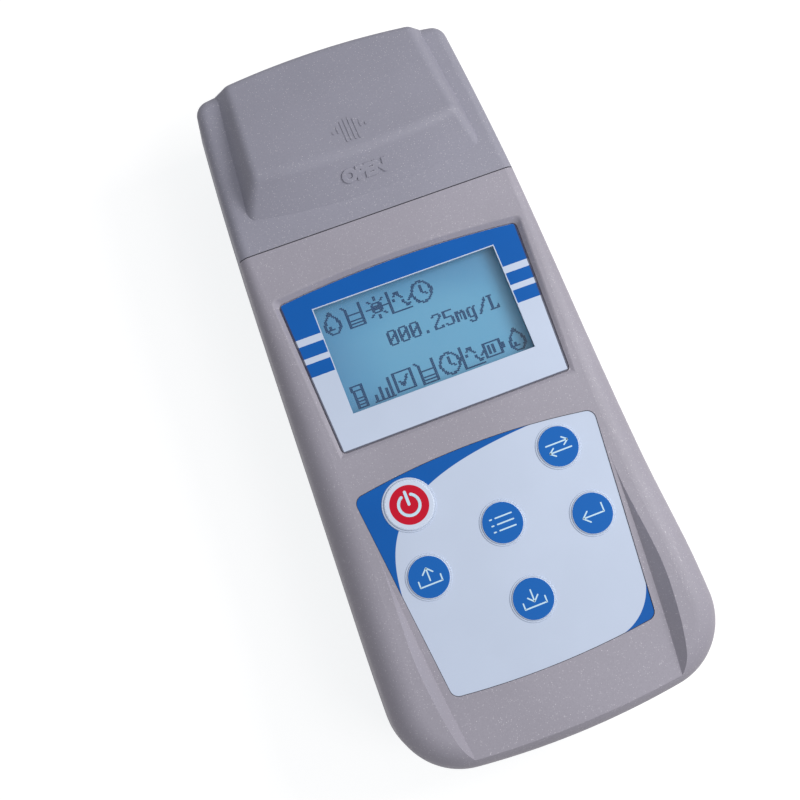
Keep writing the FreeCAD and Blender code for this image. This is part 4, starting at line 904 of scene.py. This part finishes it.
@dataclass
class Display:
    """The lit display and the dots that show on it."""

    columns: int = 128
    rows: int = 64
    left: float = -27.4
    top: float = WINDOW_Y + 14.5
    column_pitch: float = 0.428
    row_pitch: float = 0.457
    dot_share: float = 0.93
    dot_height: float = 0.02
    reading: str = "000.25mg/L"
    reading_column: int = 40
    reading_row: int = 24
    glyph_step: int = 8
    icon_step: int = 16
    dot_colour: Colour = srgb(2, 50, 100)
    glass: DisplayGlass = DisplayGlass()

    def drop(self, canvas: DotCanvas, x: int, y: int) -> None:
        """Draws a drop."""
        canvas.line((x + 7, y), (x + 2, y + 7))
        canvas.line((x + 7, y), (x + 12, y + 7))
        canvas.ring(x + 7, y + 9, 5.0, -35, 215)
        canvas.ring(x + 7, y + 9, 2.2, 90, 180)

    def beaker(self, canvas: DotCanvas, x: int, y: int) -> None:
        """Draws a beaker with a level in it."""
        canvas.line((x, y), (x + 2, y + 2), (x + 2, y + 14), (x + 12, y + 14), (x + 12, y))
        for mark in (6, 10, 12):
            canvas.line((x + 2, y + mark), (x + 12, y + mark))

    def lamp(self, canvas: DotCanvas, x: int, y: int) -> None:
        """Draws a lamp with rays."""
        canvas.ring(x + 7, y + 7, 3.4)
        canvas.ring(x + 7, y + 7, 1.4)
        for turn in range(8):
            angle = math.radians(45 * turn)
            c, s = math.cos(angle), math.sin(angle)
            canvas.line((x + 7 + 5 * c, y + 7 + 5 * s), (x + 7 + 7 * c, y + 7 + 7 * s))

    def wave(self, canvas: DotCanvas, x: int, y: int) -> None:
        """Draws a curve in two axes."""
        canvas.line((x, y), (x, y + 14), (x + 13, y + 14))
        for step in range(24):
            along = step / 2
            canvas.put(x + 3 + along, y + 7 - 5 * math.sin(along * 0.55))

    def dial(self, canvas: DotCanvas, x: int, y: int) -> None:
        """Draws a round clock."""
        canvas.ring(x + 7, y + 7, 6.6)
        canvas.line((x + 7, y + 3), (x + 7, y + 7), (x + 10, y + 9))

    def bars(self, canvas: DotCanvas, x: int, y: int) -> None:
        """Draws a chart of bars."""
        canvas.line((x, y + 14), (x + 13, y + 14))
        for column, height in ((1, 4), (5, 8), (9, 6), (12, 12)):
            canvas.line((x + column, y + 14 - height), (x + column, y + 14))

    def vial(self, canvas: DotCanvas, x: int, y: int) -> None:
        """Draws a capped sample cell."""
        canvas.line((x + 3, y), (x + 10, y), (x + 10, y + 3), (x + 3, y + 3), (x + 3, y))
        canvas.line((x + 4, y + 3), (x + 4, y + 14), (x + 10, y + 14), (x + 10, y + 3))
        for mark in (8, 10, 12):
            canvas.line((x + 4, y + mark), (x + 10, y + mark))

    def cell(self, canvas: DotCanvas, x: int, y: int) -> None:
        """Draws a battery on its side."""
        canvas.line((x, y + 3), (x + 11, y + 3), (x + 11, y + 12), (x, y + 12), (x, y + 3))
        canvas.line((x + 13, y + 6), (x + 13, y + 9))
        for mark in (3, 6):
            canvas.line((x + mark, y + 5), (x + mark, y + 10))

    def tick(self, canvas: DotCanvas, x: int, y: int) -> None:
        """Draws a tick in a frame."""
        canvas.line((x, y + 1), (x + 12, y + 1), (x + 12, y + 13), (x, y + 13), (x, y + 1))
        canvas.line((x + 3, y + 7), (x + 5, y + 10), (x + 9, y + 4))

    def rows_of_icons(self, canvas: DotCanvas) -> None:
        """Draws the icons along the display's head and foot."""
        head: Tuple[Callable, ...] = (self.drop, self.beaker, self.lamp, self.wave, self.dial)
        foot: Tuple[Callable, ...] = (
            self.vial, self.bars, self.tick, self.beaker, self.dial, self.wave, self.cell, self.drop,
        )
        canvas.pen = 2
        for row, icons in ((0, head), (self.rows - self.icon_step + 1, foot)):
            for index, icon in enumerate(icons):
                icon(canvas, 1 + self.icon_step * index, row)
        canvas.pen = 1

    def build(self) -> None:
        """Dresses the display's layers and sets its dots."""
        dress("lcd_glass", self.glass.make())
        dress("lcd_backlight", Plain("diffuser_white", srgb(225, 228, 230), 0.6).make())
        canvas = DotCanvas(self.columns, self.rows)
        self.rows_of_icons(canvas)
        for index, letter in enumerate(self.reading):
            canvas.stamp(DIGITS[letter], self.reading_column + index * self.glyph_step, self.reading_row)
        mesh = bmesh.new()
        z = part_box("lcd_glass")[1].z + self.dot_height / 2 * MM
        size = Vector((self.column_pitch, self.row_pitch, self.dot_height / self.dot_share))
        for column, row in sorted(canvas.dots):
            x = (self.left + (column + 0.5) * self.column_pitch) * MM
            y = (self.top - (row + 0.5) * self.row_pitch) * MM
            Builder.bar(mesh, size * self.dot_share * MM, Matrix.Translation((x, y, z)))
        dark = Plain(
            "display_dots", self.dot_colour, 0.8, grain=1200.0, depth=0.001, tint=0.05, specular=0.05,
        ).make()
        Builder.finish("display_dots", mesh, dark, "case", "display_glass", smooth=False)


@dataclass
class Grip:
    """The raised arrow and the raised word on the cover's grip."""

    word: str = "OPEN"
    word_height: float = 4.4
    word_width: float = 13.6
    word_y: float = 63.4
    word_rise: float = 0.5
    word_weight: float = 0.02
    word_bevel: float = 0.06
    rib_width: float = 0.62
    rib_rise: float = 0.18
    rib_foot: float = 72.2
    long_ribs: Tuple[float, ...] = (-1.9, -0.65, 0.65, 1.9)
    short_ribs: Tuple[Tuple[float, float, float], ...] = (
        (-3.4, 75.5, 77.3), (3.4, 75.5, 77.3), (-4.9, 75.6, 76.0), (4.9, 75.6, 76.0),
    )
    tip_y: float = 79.6
    tip_fall: float = 0.62

    def surface(self, x: float, y: float) -> Tuple[Vector, Vector]:
        """Finds the cover's skin under a point.

        Args:
            x: Across, in millimetres.
            y: Along, in millimetres.

        Returns:
            The point on the skin and its normal.
        """
        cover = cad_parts["sample_cover"]
        hit, place, normal, _ = cover.ray_cast(Vector((x * MM, y * MM, 0.2)), Vector((0, 0, -1)))
        if not hit:
            raise ValueError("nothing under the grip's mark")
        return place, normal

    def frame_at(self, x: float, y: float) -> Matrix:
        """A flat frame on the skin, its Y axis running up the slope."""
        place, normal = self.surface(x, y)
        side = Vector((1, 0, 0))
        up = normal.cross(side).normalized()
        side = up.cross(normal).normalized()
        turn = Matrix((side, up, normal)).transposed().to_4x4()
        return Matrix.Translation(place) @ turn

    def build(self, material: bpy.types.Material) -> None:
        """Makes the ribs and the word."""
        mesh = bmesh.new()
        marks = [(x, self.rib_foot, self.tip_y - self.tip_fall * abs(x)) for x in self.long_ribs]
        for x, low, high in marks + list(self.short_ribs):
            middle = self.frame_at(x, (low + high) / 2)
            reach = (high - low) / 2
            points = [(0.0, -reach), (0.0, reach)]
            Builder.stroke(mesh, points, self.rib_width, 2 * self.rib_rise, middle)
        Builder.finish("grip_arrow", mesh, material, "cover", "cover_plastic", smooth=False)
        curve = bpy.data.curves.new("grip_word", "FONT")
        curve.body = self.word
        curve.align_x = "CENTER"
        curve.align_y = "CENTER"
        curve.extrude = self.word_rise / 2
        curve.offset = self.word_weight
        curve.bevel_depth = self.word_bevel
        curve.resolution_u = 3
        text = bpy.data.objects.new("grip_word_source", curve)
        bpy.context.scene.collection.objects.link(text)
        bpy.context.view_layer.update()
        graph = bpy.context.evaluated_depsgraph_get()
        data = bpy.data.meshes.new_from_object(text.evaluated_get(graph))
        bpy.data.objects.remove(text)
        mesh = bmesh.new()
        mesh.from_mesh(data)
        bpy.data.meshes.remove(data)
        xs = [vertex.co.x for vertex in mesh.verts]
        ys = [vertex.co.y for vertex in mesh.verts]
        wide = self.word_width / (max(xs) - min(xs))
        tall = self.word_height / (max(ys) - min(ys))
        scale = Vector((wide, tall, 1.0)) * MM
        bmesh.ops.scale(mesh, vec=scale, verts=mesh.verts)
        bmesh.ops.transform(mesh, matrix=self.frame_at(0.0, self.word_y), verts=mesh.verts)
        bmesh.ops.remove_doubles(mesh, verts=mesh.verts, dist=WELD)
        Builder.finish("grip_word", mesh, material, "cover", "cover_plastic")


@dataclass
class Inside:
    """What the housing holds."""

    board: Plain = Plain("board_mask", srgb(20, 96, 60), 0.38, grain=700.0, depth=0.02, coat=0.3)
    package: Plain = Plain("package_black", srgb(30, 30, 32), 0.45, grain=1800.0, depth=0.01)
    chamber: Plain = Plain("chamber_black", srgb(26, 26, 28), 0.62, grain=1600.0, depth=0.02)
    foam: Plain = Plain("foam_black", srgb(36, 36, 38), 0.95, grain=1100.0, depth=0.12)
    contact: Plain = Plain("nickel_plate", srgb(188, 184, 174), 0.28, 1.0, 2200.0, 0.005)
    film: Plain = Plain("amber_film", srgb(176, 110, 40), 0.3, grain=1500.0, coat=0.5)
    can: Plain = Plain("battery_sleeve", srgb(40, 44, 52), 0.3, grain=600.0, depth=0.004, coat=0.4)
    glass: ClearPane = ClearPane("optic_glass", (0.86, 0.93, 0.97), 0.35, 0.04)
    tinted: ClearPane = ClearPane("filter_glass", (0.62, 0.16, 0.10), 0.65, 0.04)
    resin: ClearPane = ClearPane("lamp_resin", (0.85, 0.88, 0.92), 0.55, 0.08)

    def build(self) -> None:
        """Dresses every inner piece."""
        groups = (
            (self.board, ("main_board", "display_board", "key_board", "lamp_board", "detector_board")),
            (self.package, ("processor_chip", "board_components", "buzzer", "display_header")),
            (self.chamber, ("chamber_deck", "cell_holder", "lamp_sleeve")),
            (self.foam, ("light_seal",)),
            (self.contact, ("battery_plates", "battery_springs", "key_domes")),
            (self.film, ("key_flex",)),
            (self.can, ("battery_1", "battery_2", "battery_3", "battery_4")),
            (self.glass, ("lamp_lens", "detector_lens")),
            (self.tinted, ("optical_filter",)),
            (self.resin, ("lamp_led",)),
        )
        for finish, nodes in groups:
            material = finish.make()
            for node in nodes:
                dress(node, material)


@dataclass
class Studio:
    """The floor, the lights and the camera."""

    floor_size: float = 6.0
    floor_colour: Colour = (0.34, 0.31, 0.30)
    floor_lift: Colour = (0.80, 0.82, 0.83)
    fill: float = 0.42
    eye: Tuple[float, float, float] = (-61.56, -53.93, 397.4)
    right: Tuple[float, float, float] = (0.92962, -0.36157, 0.0708)
    up: Tuple[float, float, float] = (0.34418, 0.92080, 0.1833)
    back: Tuple[float, float, float] = (-0.13145, -0.14601, 0.9805)
    focal_pixels: float = 1300.0
    image_pixels: float = 800.0
    sensor: float = 36.0

    @staticmethod
    def seen_straight(shader: Shader) -> Sock:
        """1 for rays that show the surroundings: from the camera, a gloss or a clear sheet."""
        kinds = ("Is Camera Ray", "Is Glossy Ray", "Is Transmission Ray")
        rays = [shader.node("ShaderNodeLightPath", {}, {}, kind) for kind in kinds]
        return rays[0].high(rays[1]).high(rays[2])

    def floor(self) -> None:
        """Lays a pale floor that shows as white to the camera but keeps the shadow."""
        mesh = bmesh.new()
        bmesh.ops.create_grid(mesh, x_segments=1, y_segments=1, size=self.floor_size / 2)
        data = bpy.data.meshes.new("floor")
        mesh.to_mesh(data)
        mesh.free()
        plane = bpy.data.objects.new("floor", data)
        bpy.context.scene.collection.objects.link(plane)
        shader = Shader("floor_pale")
        lift = shader.mix(self.seen_straight(shader), (0.0, 0.0, 0.0), self.floor_lift)
        shader.set(Base_Color=self.floor_colour, Roughness=0.9, Specular_IOR_Level=0.1)
        shader.set(Emission_Color=lift, Emission_Strength=1.0)
        data.materials.append(shader.material)

    def world(self) -> None:
        """Makes an even surrounding that looks white where it is seen."""
        world = bpy.data.worlds.new("studio")
        bpy.context.scene.world = world
        world.use_nodes = True
        shader = Shader.over(world.node_tree)
        light = shader.node("ShaderNodeBackground", {}, {0: (0.96, 0.98, 1.0), 1: self.fill})
        seen = shader.node("ShaderNodeBackground", {}, {0: (1.0, 1.0, 1.0), 1: 1.0})
        both = shader.node("ShaderNodeMixShader", {}, {0: self.seen_straight(shader), 1: light, 2: seen})
        shader.node("ShaderNodeOutputWorld", {}, {0: both})

    def lamp(self, name: str, place: Tuple[float, float, float], size: float, power: float,
             colour: Colour) -> None:
        """Adds one soft square light that looks at the object.

        Args:
            name: The light's name.
            place: Where it stands, in metres.
            size: Its side, in metres.
            power: Its power in watts.
            colour: Its colour.
        """
        data = bpy.data.lights.new(name, "AREA")
        data.size = size
        data.energy = power
        data.color = colour
        light = bpy.data.objects.new(name, data)
        bpy.context.scene.collection.objects.link(light)
        light.location = place
        light.rotation_euler = (-Vector(place)).to_track_quat("-Z", "Y").to_euler()

    def camera(self) -> None:
        """Sets the camera to the photograph's viewing angle."""
        data = bpy.data.cameras.new("camera")
        data.sensor_width = self.sensor
        data.lens = self.focal_pixels / self.image_pixels * self.sensor
        data.clip_start = 0.01
        data.clip_end = 50.0
        camera = bpy.data.objects.new("camera", data)
        bpy.context.scene.collection.objects.link(camera)
        turn = Matrix((self.right, self.up, self.back)).transposed()
        camera.matrix_world = Matrix.Translation(Vector(self.eye) * MM) @ turn.to_4x4()
        bpy.context.scene.camera = camera

    def build(self) -> None:
        """Sets up the whole studio."""
        self.floor()
        self.world()
        self.lamp("key_light", (0.34, 0.02, 0.36), 0.22, 1.5, (1.0, 0.99, 0.97))
        self.lamp("fill_light", (0.5, -0.6, 1.3), 0.6, 3.8, (0.98, 0.99, 1.0))
        self.camera()
        bpy.context.scene.view_settings.view_transform = "Standard"


def main() -> None:
    """Builds and dresses the detector, part by part."""
    logging.basicConfig(level=logging.INFO, format="%(name)s: %(message)s")
    Case().build()
    Recesses().build()
    Labels().build()
    Keys().build()
    Display().build()
    Grip().build(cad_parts["sample_cover"].material_slots[0].material)
    Inside().build()
    Studio().build()


if __name__ == "__main__":
    main()
